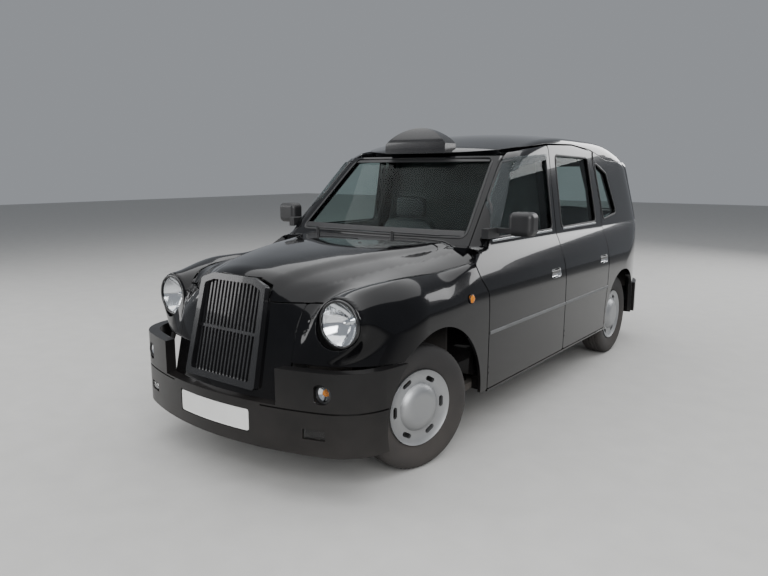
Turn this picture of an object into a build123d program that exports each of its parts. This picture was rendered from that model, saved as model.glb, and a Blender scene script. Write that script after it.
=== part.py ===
from build123d import *
from math import asin, cos, radians, sin, sqrt, tan
import os

# A purpose-built taxi cab. Millimetres, +Z up, the front of the cab towards -Y and its left side towards +X.
# The origin lies on the ground, under the middle of the cab's length and width.

# Wheels and axles
wheelbase = 2886
front_axle_y = -1510
rear_axle_y = front_axle_y + wheelbase
track = 1420
tyre_radius = 336
tyre_width = 175
rim_radius = 203
flange_radius = 216
rim_width = 140
wheel_trim_bulge = 24
trim_slot_count = 6
hub_z = tyre_radius
spindle_radius = 20
hub_radius = 48
running_clearance = 0.06
seat_gap = 0.3

# Steering: the kingpins stand upright, and the wheels rest turned to the cab's right
kingpin_x = 610
rest_steer = -15
kingpin_radius = 14
steering_arm = 150
track_rod_z = 205
track_rod_radius = 11
ball_pin_radius = 9

# Body widths and heights
half_width = 873
sill_z = 290
shoulder_z = 780
waist_z = 1120
waist_x = 785
tumblehome = 0.1477
wall = 48
door_wall = 42
post_depth = 40
post_reach = 60
glass_inset = 12
glass_thickness = 5
side_arc_z = 950
side_arc_x = 852

# Roof centre line, front to back: station y, roof height, drop to the cornice and cornice radius
roof_stations = (
    (-1060, 1490, 45, 60),
    (-430, 1683, 45, 60),
    (80, 1802, 50, 60),
    (780, 1831, 55, 60),
    (1440, 1785, 60, 70),
    (1900, 1640, 70, 80),
    (2300, 1400, 70, 80),
)

# Windscreen and tail
screen_base_y = -1000
screen_base_z = 1142
screen_top_y = -430
screen_top_z = 1668
screen_bow = 80
tail_lean_y = -270
tail_lean_z = 490
tail_start_y = 1400
tail_y = 2200

# Front end: station y, bonnet crown height, valley x and z, wing shoulder x and z, wing side start z
front_stations = (
    (-2330, 975, 430, 880, 680, 937, 760),
    (-2006, 1064, 497, 926, 720, 976, 800),
    (-1726, 1112, 622, 980, 765, 996, 820),
    (-1500, 1134, 675, 1004, 785, 998, 830),
    (-1130, 1148, 760, 1034, 845, 985, 880),
    (-900, 1152, 800, 1052, 852, 1000, 900),
)
# Plan of the bonnet's left edge, (x, y) from its rear corner along the valley to beyond the nose
bonnet_edge = (
    (712, -1036), (738, -1083), (757, -1150), (675, -1500), (622, -1726), (567, -1880), (497, -2006), (430, -2400))
nose_y = -2226
nose_z = 503
nose_lean = 13.5
nose_front_radius = 1776
nose_corner_x = 560
nose_corner_radius = 460
front_arch_radius = 430
rear_arch_radius = 400
wing_wall = 25
bonnet_wall = 22

# Bumpers
bumper_depth = 60
bumper_flare = 6
bumper_bottom_z = 245
bumper_split_z = 470
bumper_top_z = 650
front_corner_top_x = 420
bumper_groove = 8
bumper_groove_deep = 10
bumper_groove_x = 330
plate_seat_x = 262
plate_seat_z = (308, 425)
plate_seat_deep = 5
low_lamp_x = (556, 664)
low_lamp_z = (326, 374)
low_lamp_deep = 14
rear_bumper_y = 2290
rear_bumper_bottom_z = 300
rear_bumper_top_z = 560

# Doors, windows and lids. Side outlines are (y, z), front outlines are (x, z)
front_door_outline = (
    (-1000, 305), (-1000, 880), (-1060, 960), (-1083, 1043), (-990, 1100), (-945, 1150), (-480, 1640),
    (-420, 1662), (-200, 1700), (115, 1733), (115, 305))
rear_door_outline = (
    (115, 305), (115, 1733), (560, 1741), (890, 1710), (960, 1560), (1026, 1284), (1020, 1120), (985, 650),
    (950, 450), (950, 305))
front_window_outline = ((-850, 1165), (-520, 1590), (-339, 1632), (55, 1655), (55, 1160))
rear_window_outline = ((215, 1160), (215, 1662), (830, 1650), (900, 1164))
quarter_window_outline = ((970, 1625), (1215, 1533), (1393, 1207), (1068, 1171))
roof_seam_rear_z = 1600
roof_step_y = -240
rail_inner_x = 640
post_inner_x = 590
roof_outline = (
    (-1200, 1650), (-470, 1650), (-420, 1668), (-200, 1706), (115, 1739), (560, 1747), (900, 1717),
    (1250, 1640), (2400, roof_seam_rear_z), (2400, 2000), (-1200, 2000))
pillar_foot = (697, 1143)
pillar_head = (605, 1665)
screen_outline = ((-655, 1165), (655, 1165), (560, 1640), (-560, 1640))
tail_window_outline = ((-590, 1195), (590, 1195), (520, 1600), (-520, 1600))
boot_lid_outline = ((-520, 600), (520, 600), (500, 1106), (-500, 1106))
tail_panel_x = 610
tail_panel_y = 1500
window_corner = 35
glass_margin = 14
shut_gap = 7
door_bottom_z = 305
door_flange = 14
door_rebate = 10
front_rim_y = 60
rear_rim_y = 700
rub_strip_z = 640
rub_strip_high = 22
rub_strip_proud = 6
handle_z = 872
handle_long = 150
handle_high = 42
handle_deep = 16
handle_bar = 12
front_handle_y = -47
rear_handle_y = 888

# Hinges: distance of the pins from the outer skin and from the door's edge
hinge_skin = 6
hinge_edge = 10
hinge_pin_radius = 3.5
hinge_end_radius = 5.8
hinge_eye = 24
hinge_lug = 10
hinge_room = 6
door_hinge_heights = (420, 730)
front_door_swing = 65
rear_door_swing = 75
bonnet_hinge_y = -1022
bonnet_hinge_z = 1142
bonnet_hinge_x = 120
bonnet_swing = 55
boot_hinge_y = 2191
boot_hinge_z = 1130
boot_hinge_x = 150
boot_swing = 80
boot_pin_radius = 3.5
boot_eye_radius = 7
bonnet_pin_radius = 4
bonnet_eye_radius = 8
bonnet_rear_y = bonnet_edge[0][1]
scuttle_front_y = -1028
wing_split_x = 470
nose_panel_top = 922

# Lamps
headlamp_x = 634
headlamp_y = -2030
headlamp_z = 848
headlamp_toe = 3
headlamp_radius = 120
headlamp_lens_radius = 103
headlamp_depth = 110
front_lamp_x = 647
front_lamp_y = -2160
front_lamp_z = 547
front_lamp_radius = 48
side_lamp_y = -1200
side_lamp_z = 870
side_lamp_radius = 24
tail_lamp_depth = 12
tail_lamp_outline = ((560, 720), (690, 720), (690, 1060), (560, 1060))
bumper_side_y = -1700
rear_bumper_flare = 6
rear_bumper_front_y = 1800

# Grille, in front view
grille_foot_x = 264
grille_foot_z = 503
grille_head_x = 243
grille_head_z = 1000
grille_crown_x = 150
grille_crown_z = 1032

# Underbody
rail_x = 300
rail_width = 60
rail_height = 55
rail_front_y = -2120
rail_rear_y = 990
cross_member_ys = (-2080, -1180, -300, 500)
cross_member_deep = 30
lower_arm_z = 208
upper_arm_z = 462
arm_thick = 24
arm_root_x = 352
arm_root_half = 90
turret_deep = 20
hub_offset = 40
spindle_end = 150
steering_arm_z = 236
open_pivot_clearance = 1.5
rear_hub_x = 610
spring_x = 440
spring_front_y = 850
spring_rear_y = 1950
boot_floor_z = 520
boot_floor_thick = 25
wheel_box_x = 560
wheel_box_wall = 15
wheel_box_front_y = 940
wheel_box_rear_y = 1820
wheel_box_top_z = 785
axle_slot_half = 60
axle_slot_top_z = 440
gearbox_rear_y = -700
propshaft_z = 262
propshaft_radius = 22
floor_thick = 40
bulkhead_y = -1075
rear_floor_y = 985
engine_half_x = 245
engine_low_z = 330
gearbox_half_x = 130
gearbox_low_z = 238
tunnel_gap = 12
exhaust_x = 400
exhaust_z = 228
exhaust_rear_y = 820
cabin_floor_z = sill_z + floor_thick
slot_circle = 158
slot_length = 62
slot_width = 26
hub_inner_x = -60
tread_half = 66

# Cabin
driver_x = -380
partition_y = 148
scuttle_flange = 20
dash_front_y = scuttle_front_y + scuttle_flange + seat_gap
column_y = -600
column_z = 950
column_direction = (0, cos(radians(25)), sin(radians(25)))

# Grille and sign details
grille_proud = 14
grille_room = 10
grille_frame_width = 34
slat_count = 16
slat_width = 11
sign_half_x = 245
sign_top_z = 1844
sign_front_y = -500
sign_rear_y = -365
sign_top_y = -430
partition_thick = 24
partition_glass = ((-640, 1010), (640, 1010), (590, 1620), (-590, 1620))
# Wiper pivots: x and the height of the foot in the scuttle's skin
wiper_pivots = ((-430, 1108), (190, 1130))
wiper_top_z = 1190
wiper_blade_z = 1182
wiper_y = -1008
mirror_inner_x = 862
mirror_corner = 36
mirror_round = 32
mirror_outer_x = 1018
mirror_z = 1250
mirror_height = 140
mirror_front_y = -800
mirror_rear_y = -715


def side_x(z):
    """Half width of the upper side wall at height z."""
    return waist_x - tumblehome * (z - waist_z)


def arc_y(x, apex, radius):
    """Distance along Y of an arc with its apex at apex, bulging towards -Y."""
    return apex + radius - sqrt(radius**2 - x**2)


def lower_body(inset):
    """Sill, side and shoulder section run along the cab and cut to its plan."""
    low = sill_z + inset
    with BuildPart() as body:
        with BuildSketch(Plane.XZ.offset(-2600)) as section:
            with BuildLine():
                right = half_width - inset
                Line((-right, low), (right, low))
                Line((right, low), (right, shoulder_z))
                ThreePointArc((right, shoulder_z), (side_arc_x - inset, side_arc_z), (waist_x - inset, waist_z))
                Line((waist_x - inset, waist_z), (inset - waist_x, waist_z))
                ThreePointArc((inset - waist_x, waist_z), (inset - side_arc_x, side_arc_z), (-right, shoulder_z))
                Line((-right, shoulder_z), (-right, low))
            make_face()
        extrude(amount=4000)
        extrude(tail_plan(inset, low), amount=waist_z - low, mode=Mode.INTERSECT)
    return body.part


def tail_plan(inset, height):
    """Plan of the cab at a height: straight sides that close in arcs to the tail."""
    side = half_width - inset
    first, second = 1600 - inset, 420 - inset
    turn = radians(17)
    mid = radians(80)
    x1 = side - first * (1 - cos(turn))
    y1 = tail_start_y + first * sin(turn)
    x2 = x1 - second * (cos(turn) - cos(mid))
    y2 = y1 + second * (sin(mid) - sin(turn))
    xa = side - first * (1 - cos(turn / 2))
    ya = tail_start_y + first * sin(turn / 2)
    half = (turn + mid) / 2
    xb = x1 - second * (cos(turn) - cos(half))
    yb = y1 + second * (sin(half) - sin(turn))
    with BuildSketch(Plane.XY.offset(height)) as plan:
        with BuildLine():
            Line((-side, -1400), (side, -1400))
            Line((side, -1400), (side, tail_start_y))
            ThreePointArc((side, tail_start_y), (xa, ya), (x1, y1))
            ThreePointArc((x1, y1), (xb, yb), (x2, y2))
            ThreePointArc((x2, y2), (0, tail_y - inset), (-x2, y2))
            ThreePointArc((-x2, y2), (-xb, yb), (-x1, y1))
            ThreePointArc((-x1, y1), (-xa, ya), (-side, tail_start_y))
            Line((-side, tail_start_y), (-side, -1400))
        make_face()
    return plan.sketch


def greenhouse(inset):
    """Upper body: a loft of cross-sections, cut by the windscreen and the leaning tail."""
    with BuildPart() as upper:
        for y, roof_z, drop, radius in roof_stations:
            top = roof_z - inset
            edge = top - drop
            x_edge = side_x(edge) - inset
            x_low = waist_x - inset
            with BuildSketch(Plane.XZ.offset(-y)) as station:
                with BuildLine():
                    Line((-x_low, waist_z), (x_low, waist_z))
                    Line((x_low, waist_z), (x_edge, edge))
                    ThreePointArc((x_edge, edge), (0, top), (-x_edge, edge))
                    Line((-x_edge, edge), (-x_low, waist_z))
                make_face()
                fillet(station.vertices().group_by(Axis.Y)[-1], radius - inset / 2)
        loft()
        rise = screen_top_z - screen_base_z
        run = screen_top_y - screen_base_y
        back = inset * sqrt(rise**2 + run**2) / rise
        at_waist = screen_base_y - (screen_base_z - waist_z) * run / rise + back
        with BuildSketch(Plane.XY.offset(waist_z)):
            with BuildLine():
                ThreePointArc((-waist_x, at_waist + screen_bow), (0, at_waist), (waist_x, at_waist + screen_bow))
                Line((waist_x, at_waist + screen_bow), (waist_x, 2600))
                Line((waist_x, 2600), (-waist_x, 2600))
                Line((-waist_x, 2600), (-waist_x, at_waist + screen_bow))
            make_face()
        extrude(amount=1400, dir=(0, run, rise), mode=Mode.INTERSECT)
        extrude(
            tail_plan(inset, waist_z), amount=1400, dir=(0, tail_lean_y, tail_lean_z), mode=Mode.INTERSECT)
    return upper.part


def front_form(inset):
    """Front end: bonnet crown, valleys and wing crests lofted along the cab, closed by the nose."""
    with BuildPart() as front:
        for y, crown, valley_x, valley_z, shoulder_x, shoulder_z, side_z in front_stations:
            side = half_width - inset
            mid_x = shoulder_x - 0.7 * inset
            mid_z = shoulder_z - 0.7 * inset
            with BuildSketch(Plane.XZ.offset(-y)):
                with BuildLine():
                    Line((-side, sill_z), (side, sill_z))
                    Line((side, sill_z), (side, side_z - inset / 2))
                    ThreePointArc((side, side_z - inset / 2), (mid_x, mid_z), (valley_x, valley_z - inset))
                    ThreePointArc((valley_x, valley_z - inset), (0, crown - inset), (-valley_x, valley_z - inset))
                    ThreePointArc((-valley_x, valley_z - inset), (-mid_x, mid_z), (-side, side_z - inset / 2))
                    Line((-side, side_z - inset / 2), (-side, sill_z))
                make_face()
        loft()
        radius = nose_front_radius
        angle = asin(nose_corner_x / radius)
        corner_y = arc_y(nose_corner_x, nose_y + inset, radius)
        side = half_width - inset
        corner = (side - nose_corner_x) / (1 - sin(angle))
        end_y = corner_y + corner * cos(angle)
        half = (radians(90) - angle) / 2
        mid_x = nose_corner_x + corner * (cos(half) - sin(angle))
        mid_y = corner_y + corner * (cos(angle) - sin(half))
        lift = nose_z - sill_z
        shift = lift * tan(radians(nose_lean))
        with BuildSketch(Plane.XY.offset(sill_z)):
            with BuildLine():
                ThreePointArc(
                    (-nose_corner_x, corner_y - shift), (0, nose_y + inset - shift), (nose_corner_x, corner_y - shift))
                ThreePointArc((nose_corner_x, corner_y - shift), (mid_x, mid_y - shift), (side, end_y - shift))
                Line((side, end_y - shift), (side, -500))
                Line((side, -500), (-side, -500))
                Line((-side, -500), (-side, end_y - shift))
                ThreePointArc((-side, end_y - shift), (-mid_x, mid_y - shift), (-nose_corner_x, corner_y - shift))
            make_face()
        extrude(amount=1200, dir=(0, sin(radians(nose_lean)), cos(radians(nose_lean))), mode=Mode.INTERSECT)
    return front.part


def block(x0, x1, y0, y1, z0, z1, round_by=0):
    """A box between two corners, with its upright edges rounded."""
    with BuildPart() as box:
        with Locations(((x0 + x1) / 2, (y0 + y1) / 2, (z0 + z1) / 2)):
            Box(x1 - x0, y1 - y0, z1 - z0)
        if round_by:
            fillet(box.edges().filter_by(Axis.Z), round_by)
    return box.part


def cylinder(centre, direction, radius, length):
    """A cylinder centred on a point, along a direction."""
    with BuildPart() as rod:
        with BuildSketch(Plane(origin=centre, z_dir=direction)):
            Circle(radius)
        extrude(amount=length / 2, both=True)
    return rod.part


def side_prism(outline, x0, x1, grow=0, corner=0):
    """A side-view outline of (y, z) corners, grown and rounded, extruded from x0 to x1."""
    with BuildPart() as prism:
        with BuildSketch(Plane.YZ.offset(x0)) as face:
            with BuildLine():
                Polyline(*outline, close=True)
            make_face()
            if corner:
                fillet(face.vertices(), corner)
            if grow:
                offset(amount=grow, kind=Kind.INTERSECTION, mode=Mode.REPLACE)
        extrude(amount=x1 - x0)
    return prism.part


def front_prism(outline, y0, y1, grow=0, corner=0):
    """A front-view outline of (x, z) corners, grown and rounded, extruded from y0 to y1."""
    with BuildPart() as prism:
        with BuildSketch(Plane.XZ.offset(-y1)) as face:
            with BuildLine():
                Polyline(*outline, close=True)
            make_face()
            if corner:
                fillet(face.vertices(), corner)
            if grow:
                offset(amount=grow, kind=Kind.INTERSECTION, mode=Mode.REPLACE)
        extrude(amount=y1 - y0)
    return prism.part


def both_sides(solid):
    """A left-hand solid with its mirror image."""
    return Compound(children=[*solid.solids(), *mirror(solid, about=Plane.YZ).solids()])


def write(solid, label):
    """Label a finished piece and write its STEP file."""
    piece = Compound(children=list(solid.solids()))
    piece.label = label
    export_step(piece, f"parts/{label}.step")


os.makedirs("parts", exist_ok=True)

# Shells of the cabin: skin for what is fixed, a thinner one for doors and lids, and an inner frame behind them
with BuildPart() as cab_form:
    add(lower_body(0))
    add(greenhouse(0))
with BuildPart() as cab_inside:
    add(lower_body(wall))
    add(greenhouse(wall))
with BuildPart() as door_inside:
    add(lower_body(door_wall))
    add(greenhouse(door_wall))
with BuildPart() as frame_inside:
    add(lower_body(wall + post_depth))
    add(greenhouse(wall + post_depth))
with BuildPart() as cab_skin:
    add(cab_form)
    add(cab_inside, mode=Mode.SUBTRACT)
with BuildPart() as door_skin:
    add(cab_form)
    add(door_inside, mode=Mode.SUBTRACT)
with BuildPart() as frame_skin:
    add(cab_inside)
    add(frame_inside, mode=Mode.SUBTRACT)
with BuildPart() as glass_skin:
    add(greenhouse(glass_inset))
    add(greenhouse(glass_inset + glass_thickness), mode=Mode.SUBTRACT)
front_outside = front_form(0)
with BuildPart() as front_skin:
    add(front_outside)
    add(front_form(wing_wall), mode=Mode.SUBTRACT)
with BuildPart() as bonnet_skin:
    add(front_outside)
    add(front_form(bonnet_wall), mode=Mode.SUBTRACT)

with BuildPart() as scuttle_skin:
    add(front_skin)
    add(block(-720, 720, scuttle_front_y, -905, 1000, 1200), mode=Mode.INTERSECT)

# Roof
with BuildPart() as roof:
    add(cab_skin)
    add(side_prism(roof_outline, -1000, 1000), mode=Mode.INTERSECT)
    add(block(tail_panel_x, 1000, -1200, roof_step_y, 1600, 1800), mode=Mode.SUBTRACT)
    add(block(-1000, -tail_panel_x, -1200, roof_step_y, 1600, 1800), mode=Mode.SUBTRACT)
write(roof.part, "roof")


def door_hinge(x, y, z, reach):
    """Lugs and pin of an upright hinge, the eye that turns on it and the room cut for it in the door."""
    tall = hinge_eye / 2
    with BuildPart() as fixed:
        for low in (z - tall - seat_gap - hinge_lug, z + tall + seat_gap):
            with BuildSketch(Plane.XY.offset(low)):
                with Locations((x, y)):
                    Circle(hinge_end_radius)
                with Locations((x - reach / 2, y)):
                    Rectangle(reach, 2 * hinge_end_radius)
            extrude(amount=hinge_lug)
        with Locations((x, y, z)):
            Cylinder(hinge_pin_radius, hinge_eye + 2 * (seat_gap + hinge_lug))
    with BuildPart() as turning:
        with BuildSketch(Plane.XY.offset(z - tall)):
            with Locations((x, y)):
                Circle(hinge_end_radius)
            with Locations((x, y + hinge_edge)):
                Rectangle(2 * hinge_end_radius, 2 * hinge_edge)
            with Locations((x, y)):
                Circle(hinge_pin_radius + running_clearance, mode=Mode.SUBTRACT)
        extrude(amount=hinge_eye)
    high = tall + seat_gap + hinge_lug + hinge_room
    room = block(x - reach, x + 40, y - 40, y + hinge_end_radius + hinge_room, z - high, z + high)
    return fixed.part, turning.part, room


hinge_x = half_width - hinge_skin
front_hinge_y = front_door_outline[0][0] + shut_gap / 2 + hinge_edge
rear_hinge_y = rear_door_outline[0][0] + shut_gap / 2 + hinge_edge
front_hinges = [door_hinge(hinge_x, front_hinge_y, z, post_reach) for z in door_hinge_heights]
rear_hinges = [door_hinge(hinge_x, rear_hinge_y, z, post_reach) for z in door_hinge_heights]
pillar_run = (pillar_foot[0] - pillar_head[0]) / (pillar_head[1] - pillar_foot[1])


def pillar_x(z):
    """Distance from the centre line of the seam between screen pillar and door, at height z."""
    return pillar_foot[0] - (z - pillar_foot[1]) * pillar_run


door_side = ((pillar_x(sill_z - 90), sill_z - 90), (1000, sill_z - 90), (1000, 1900), (pillar_x(1900), 1900))
screen_side = ((0, waist_z), (pillar_x(waist_z), waist_z), (pillar_x(1650), 1650), (0, 1650))
front_arch = cylinder((700, front_axle_y, hub_z), (1, 0, 0), front_arch_radius, 700)
rear_arch = cylinder((700, rear_axle_y, hub_z), (1, 0, 0), rear_arch_radius, 500)

# Doors: each has an outer flange, and its core stands back from the flange's edge so that the door can swing out
with BuildPart() as door_core:
    add(lower_body(door_flange))
    add(greenhouse(door_flange))


def door_rim(outline, front_y):
    """The rim of a door's core behind front_y, which is cut away behind the flange."""
    with BuildPart() as rim:
        add(door_core)
        add(block(300, 1000, front_y, 1200, 0, 1900), mode=Mode.INTERSECT)
        add(side_prism(outline, 300, 1000, grow=-shut_gap / 2 - door_rebate), mode=Mode.SUBTRACT)
    return rim.part


def door_trim(outline, handle_y):
    """Rub strip along a door, within its outline."""
    with BuildPart() as strip:
        add(block(half_width - 1, half_width + rub_strip_proud, -990, 1000, rub_strip_z - rub_strip_high / 2,
                  rub_strip_z + rub_strip_high / 2))
        add(side_prism(outline, 300, 1000, grow=-shut_gap / 2), mode=Mode.INTERSECT)
        add(handle_grip(handle_y))
    return strip.part


def handle_room(handle_y):
    """The hollow behind a door handle."""
    return block(half_width - handle_deep, 1000, handle_y - handle_long / 2, handle_y + handle_long / 2,
                 handle_z - handle_high / 2, handle_z + handle_high / 2)


def handle_grip(handle_y):
    """The bar of a door handle, across its hollow."""
    return cylinder((half_width - handle_bar / 2, handle_y, handle_z), (0, 1, 0), handle_bar / 2, handle_long + 10)


with BuildPart() as front_door_left:
    add(door_skin)
    add(side_prism(front_door_outline, 300, 1000, grow=-shut_gap / 2), mode=Mode.INTERSECT)
    add(front_prism(door_side, -1500, 500, grow=-shut_gap / 2), mode=Mode.INTERSECT)
    add(side_prism(front_window_outline, 300, 1000, corner=window_corner), mode=Mode.SUBTRACT)
    add(block(0, half_width - door_wall, -1200, 1200, 0, sill_z + door_wall), mode=Mode.SUBTRACT)
    add(door_rim(front_door_outline, front_rim_y), mode=Mode.SUBTRACT)
    for fixed, turning, room in front_hinges:
        add(room, mode=Mode.SUBTRACT)
        add(turning)
    add(handle_room(front_handle_y), mode=Mode.SUBTRACT)
    add(door_trim(front_door_outline, front_handle_y))
write(front_door_left.part, "front_door_left")
write(mirror(front_door_left.part, about=Plane.YZ), "front_door_right")

with BuildPart() as rear_door_left:
    add(door_skin)
    add(side_prism(rear_door_outline, 300, 1000, grow=-shut_gap / 2), mode=Mode.INTERSECT)
    add(side_prism(rear_window_outline, 300, 1000, corner=window_corner), mode=Mode.SUBTRACT)
    add(rear_arch, mode=Mode.SUBTRACT)
    add(block(0, half_width - door_wall, -1200, 1200, 0, sill_z + door_wall), mode=Mode.SUBTRACT)
    add(door_rim(rear_door_outline, rear_rim_y), mode=Mode.SUBTRACT)
    for fixed, turning, room in rear_hinges:
        add(room, mode=Mode.SUBTRACT)
        add(turning)
    add(handle_room(rear_handle_y), mode=Mode.SUBTRACT)
    add(door_trim(rear_door_outline, rear_handle_y))
write(rear_door_left.part, "rear_door_left")
write(mirror(rear_door_left.part, about=Plane.YZ), "rear_door_right")

# Side glass, set in the doors' frames
with BuildPart() as front_glass_left:
    add(glass_skin)
    add(side_prism(front_window_outline, 300, 1000, corner=window_corner), mode=Mode.INTERSECT)
    add(front_prism(door_side, -1500, 500, grow=-glass_margin), mode=Mode.INTERSECT)
write(front_glass_left.part, "front_glass_left")
write(mirror(front_glass_left.part, about=Plane.YZ), "front_glass_right")

with BuildPart() as rear_glass_left:
    add(glass_skin)
    add(side_prism(rear_window_outline, 300, 1000, corner=window_corner), mode=Mode.INTERSECT)
write(rear_glass_left.part, "rear_glass_left")
write(mirror(rear_glass_left.part, about=Plane.YZ), "rear_glass_right")

with BuildPart() as tail_lamp_room:
    add(front_prism(tail_lamp_outline, 1700, 2400, grow=seat_gap, corner=20))
    add(mirror(tail_lamp_room.part, about=Plane.YZ))
    add(lower_body(tail_lamp_depth + seat_gap), mode=Mode.SUBTRACT)

# Side frame: quarter panel, sill, posts and rail, and the screen pillar
quarter_region = ((850, sill_z), (850, 1719), (900, 1717), (1250, 1640), (2400, roof_seam_rear_z), (2400, sill_z))
b_post = ((60, sill_z), (170, sill_z), (170, 1800), (60, 1800))
c_post = ((955, sill_z), (1040, sill_z), (1075, 1120), (1075, 1290), (960, 1700), (880, 1760), (840, 1700), (960, 1400),
          (980, 1100), (940, 700))
a_post = (
    (-1075, sill_z), (-985, sill_z), (-985, 1000), (-900, 1060), (-900, 1120), (-1012, 1120), (-1012, 1000),
    (-1075, 1000))
rail = (
    (-600, 1560), (-500, 1600), (-339, 1662), (60, 1690), (900, 1675), (1100, 1640), (1100, 1720), (900, 1760), (560, 1790),
    (100, 1780), (-200, 1740), (-420, 1700), (-540, 1660))
with BuildPart() as quarter_left:
    add(cab_skin)
    add(side_prism(quarter_region, 300, 1000), mode=Mode.INTERSECT)
    add(block(tail_panel_x, 1000, 150, 2400, sill_z, 1730), mode=Mode.INTERSECT)
    add(side_prism(rear_door_outline, 300, 1000, grow=shut_gap / 2), mode=Mode.SUBTRACT)
    add(side_prism(quarter_window_outline, 300, 1000, corner=window_corner), mode=Mode.SUBTRACT)
    add(rear_arch, mode=Mode.SUBTRACT)
    add(tail_lamp_room, mode=Mode.SUBTRACT)
with BuildPart() as sill_left:
    add(cab_skin)
    add(block(760, 1000, -990, 1000, sill_z, door_bottom_z - shut_gap / 2), mode=Mode.INTERSECT)
    add(block(760, half_width - wall, -990, 930, sill_z, sill_z + wall))
with BuildPart() as post_regions:
    for outline in (b_post, c_post):
        add(side_prism(outline, post_inner_x, 1000))
    add(side_prism(rail, rail_inner_x, 1000))
    add(block(760, 1000, -990, 960, sill_z, 400))
with BuildPart() as posts_left:
    add(frame_skin)
    add(post_regions, mode=Mode.INTERSECT)
    add(rear_arch, mode=Mode.SUBTRACT)
with BuildPart() as pillar_left:
    add(cab_skin)
    add(front_prism(screen_side, -1200, -300), mode=Mode.INTERSECT)
    add(front_prism(screen_outline, -1200, -300, corner=window_corner), mode=Mode.SUBTRACT)
    add(block(0, 1000, -1200, -300, waist_z, 1650), mode=Mode.INTERSECT)
    add(front_outside, mode=Mode.SUBTRACT)
with BuildPart() as side_left:
    add(quarter_left)
    add(sill_left)
    add(posts_left)
    add(pillar_left)
    add(side_prism(a_post, 640, 720))
    for fixed, turning, room in front_hinges:
        add(fixed)
    for fixed, turning, room in rear_hinges:
        add(fixed)
    add(block(640, 812, -1075, -985, 400, 840))
    add(scuttle_skin, mode=Mode.SUBTRACT)
    mirror(about=Plane.YZ)
write(side_left.part, "side_frames")

# Tail panel and boot lid
with BuildPart() as rear_panel:
    add(cab_skin)
    add(block(-tail_panel_x, tail_panel_x, tail_panel_y, 2400, sill_z, 1700), mode=Mode.INTERSECT)
    add(side_prism(roof_outline, -1000, 1000), mode=Mode.SUBTRACT)
    add(block(-tail_panel_x, tail_panel_x, tail_panel_y, 2080, sill_z, 700), mode=Mode.SUBTRACT)
    add(front_prism(tail_window_outline, 1500, 2400, corner=window_corner), mode=Mode.SUBTRACT)
    add(front_prism(boot_lid_outline, 1500, 2400, grow=shut_gap / 2, corner=30), mode=Mode.SUBTRACT)
    add(tail_lamp_room, mode=Mode.SUBTRACT)
    for side in (-1, 1):
        x = side * boot_hinge_x
        add(block(x - 30, x + 30, boot_hinge_y - 14, 2300, waist_z - 20, boot_hinge_z + 14), mode=Mode.SUBTRACT)
        add(cylinder((x, boot_hinge_y, boot_hinge_z), (1, 0, 0), boot_pin_radius, 60))
write(rear_panel.part, "rear_panel")

with BuildPart() as boot_lid:
    add(door_skin)
    add(front_prism(boot_lid_outline, 1500, 2400, grow=-shut_gap / 2, corner=30), mode=Mode.INTERSECT)
    for side in (-1, 1):
        x = side * boot_hinge_x
        add(cylinder((x, boot_hinge_y, boot_hinge_z), (1, 0, 0), boot_eye_radius, 24))
        add(block(x - 12, x + 12, boot_hinge_y - boot_eye_radius, boot_hinge_y + boot_eye_radius,
                  waist_z - 40, boot_hinge_z))
        add(cylinder((x, boot_hinge_y, boot_hinge_z), (1, 0, 0), boot_pin_radius + running_clearance, 24),
            mode=Mode.SUBTRACT)
write(boot_lid.part, "boot_lid")

# Fixed glass: windscreen, rear window and quarter windows
with BuildPart() as fixed_glass:
    add(glass_skin)
    add(front_prism(screen_outline, -1200, -300, corner=window_corner), mode=Mode.INTERSECT)
with BuildPart() as tail_glass:
    add(glass_skin)
    add(front_prism(tail_window_outline, 1500, 2400, corner=window_corner), mode=Mode.INTERSECT)
with BuildPart() as quarter_glass:
    add(glass_skin)
    add(side_prism(quarter_window_outline, 300, 1000, corner=window_corner), mode=Mode.INTERSECT)
write(Compound(children=[*fixed_glass.part.solids(), *tail_glass.part.solids(),
                         *both_sides(quarter_glass.part).solids()]), "fixed_glass")

lamp_turn = (sin(radians(headlamp_toe)), -cos(radians(headlamp_toe)), 0)
headlamp_centre = (headlamp_x, headlamp_y, headlamp_z)


def headlamp_solid(radius, deep):
    """The drum of a headlamp, its lens facing forward."""
    with BuildPart() as drum:
        with BuildSketch(Plane(origin=headlamp_centre, z_dir=lamp_turn)):
            Circle(radius)
        extrude(amount=-deep)
    return drum.part


with BuildPart() as headlamp_holes:
    add(both_sides(headlamp_solid(headlamp_radius + seat_gap, headlamp_depth + 40)))
    add(both_sides(headlamp_solid(headlamp_radius + seat_gap, -200)))

# Front wings, nose panel, scuttle and bonnet


def bonnet_prism(grow):
    """Plan outline of the bonnet, from its rear edge to the nose, as an upright prism."""
    outline = [*bonnet_edge, *((-x, y) for x, y in reversed(bonnet_edge))]
    with BuildPart() as prism:
        with BuildSketch(Plane.XY.offset(nose_panel_top + 3.5 - grow)):
            with BuildLine():
                Polyline(*outline, close=True)
            make_face()
            offset(amount=grow, kind=Kind.INTERSECTION, mode=Mode.REPLACE)
        extrude(amount=400)
    return prism.part


grille_front = (
    (-grille_foot_x, grille_foot_z), (grille_foot_x, grille_foot_z), (grille_head_x, grille_head_z),
    (grille_crown_x, grille_crown_z), (-grille_crown_x, grille_crown_z), (-grille_head_x, grille_head_z))
behind_wing = (
    (-1000, 200), (-1000, 880), (-1060, 960), (-1083, 1043), (-1083, 1400), (300, 1400), (300, 200))
grille_plane = Plane(
    origin=(0, nose_y, grille_foot_z), x_dir=(1, 0, 0),
    z_dir=(0, -cos(radians(nose_lean)), sin(radians(nose_lean))))
rise = 1 / cos(radians(nose_lean))
grille_outline = [(x, (z - grille_foot_z) * rise) for x, z in grille_front]


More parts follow.
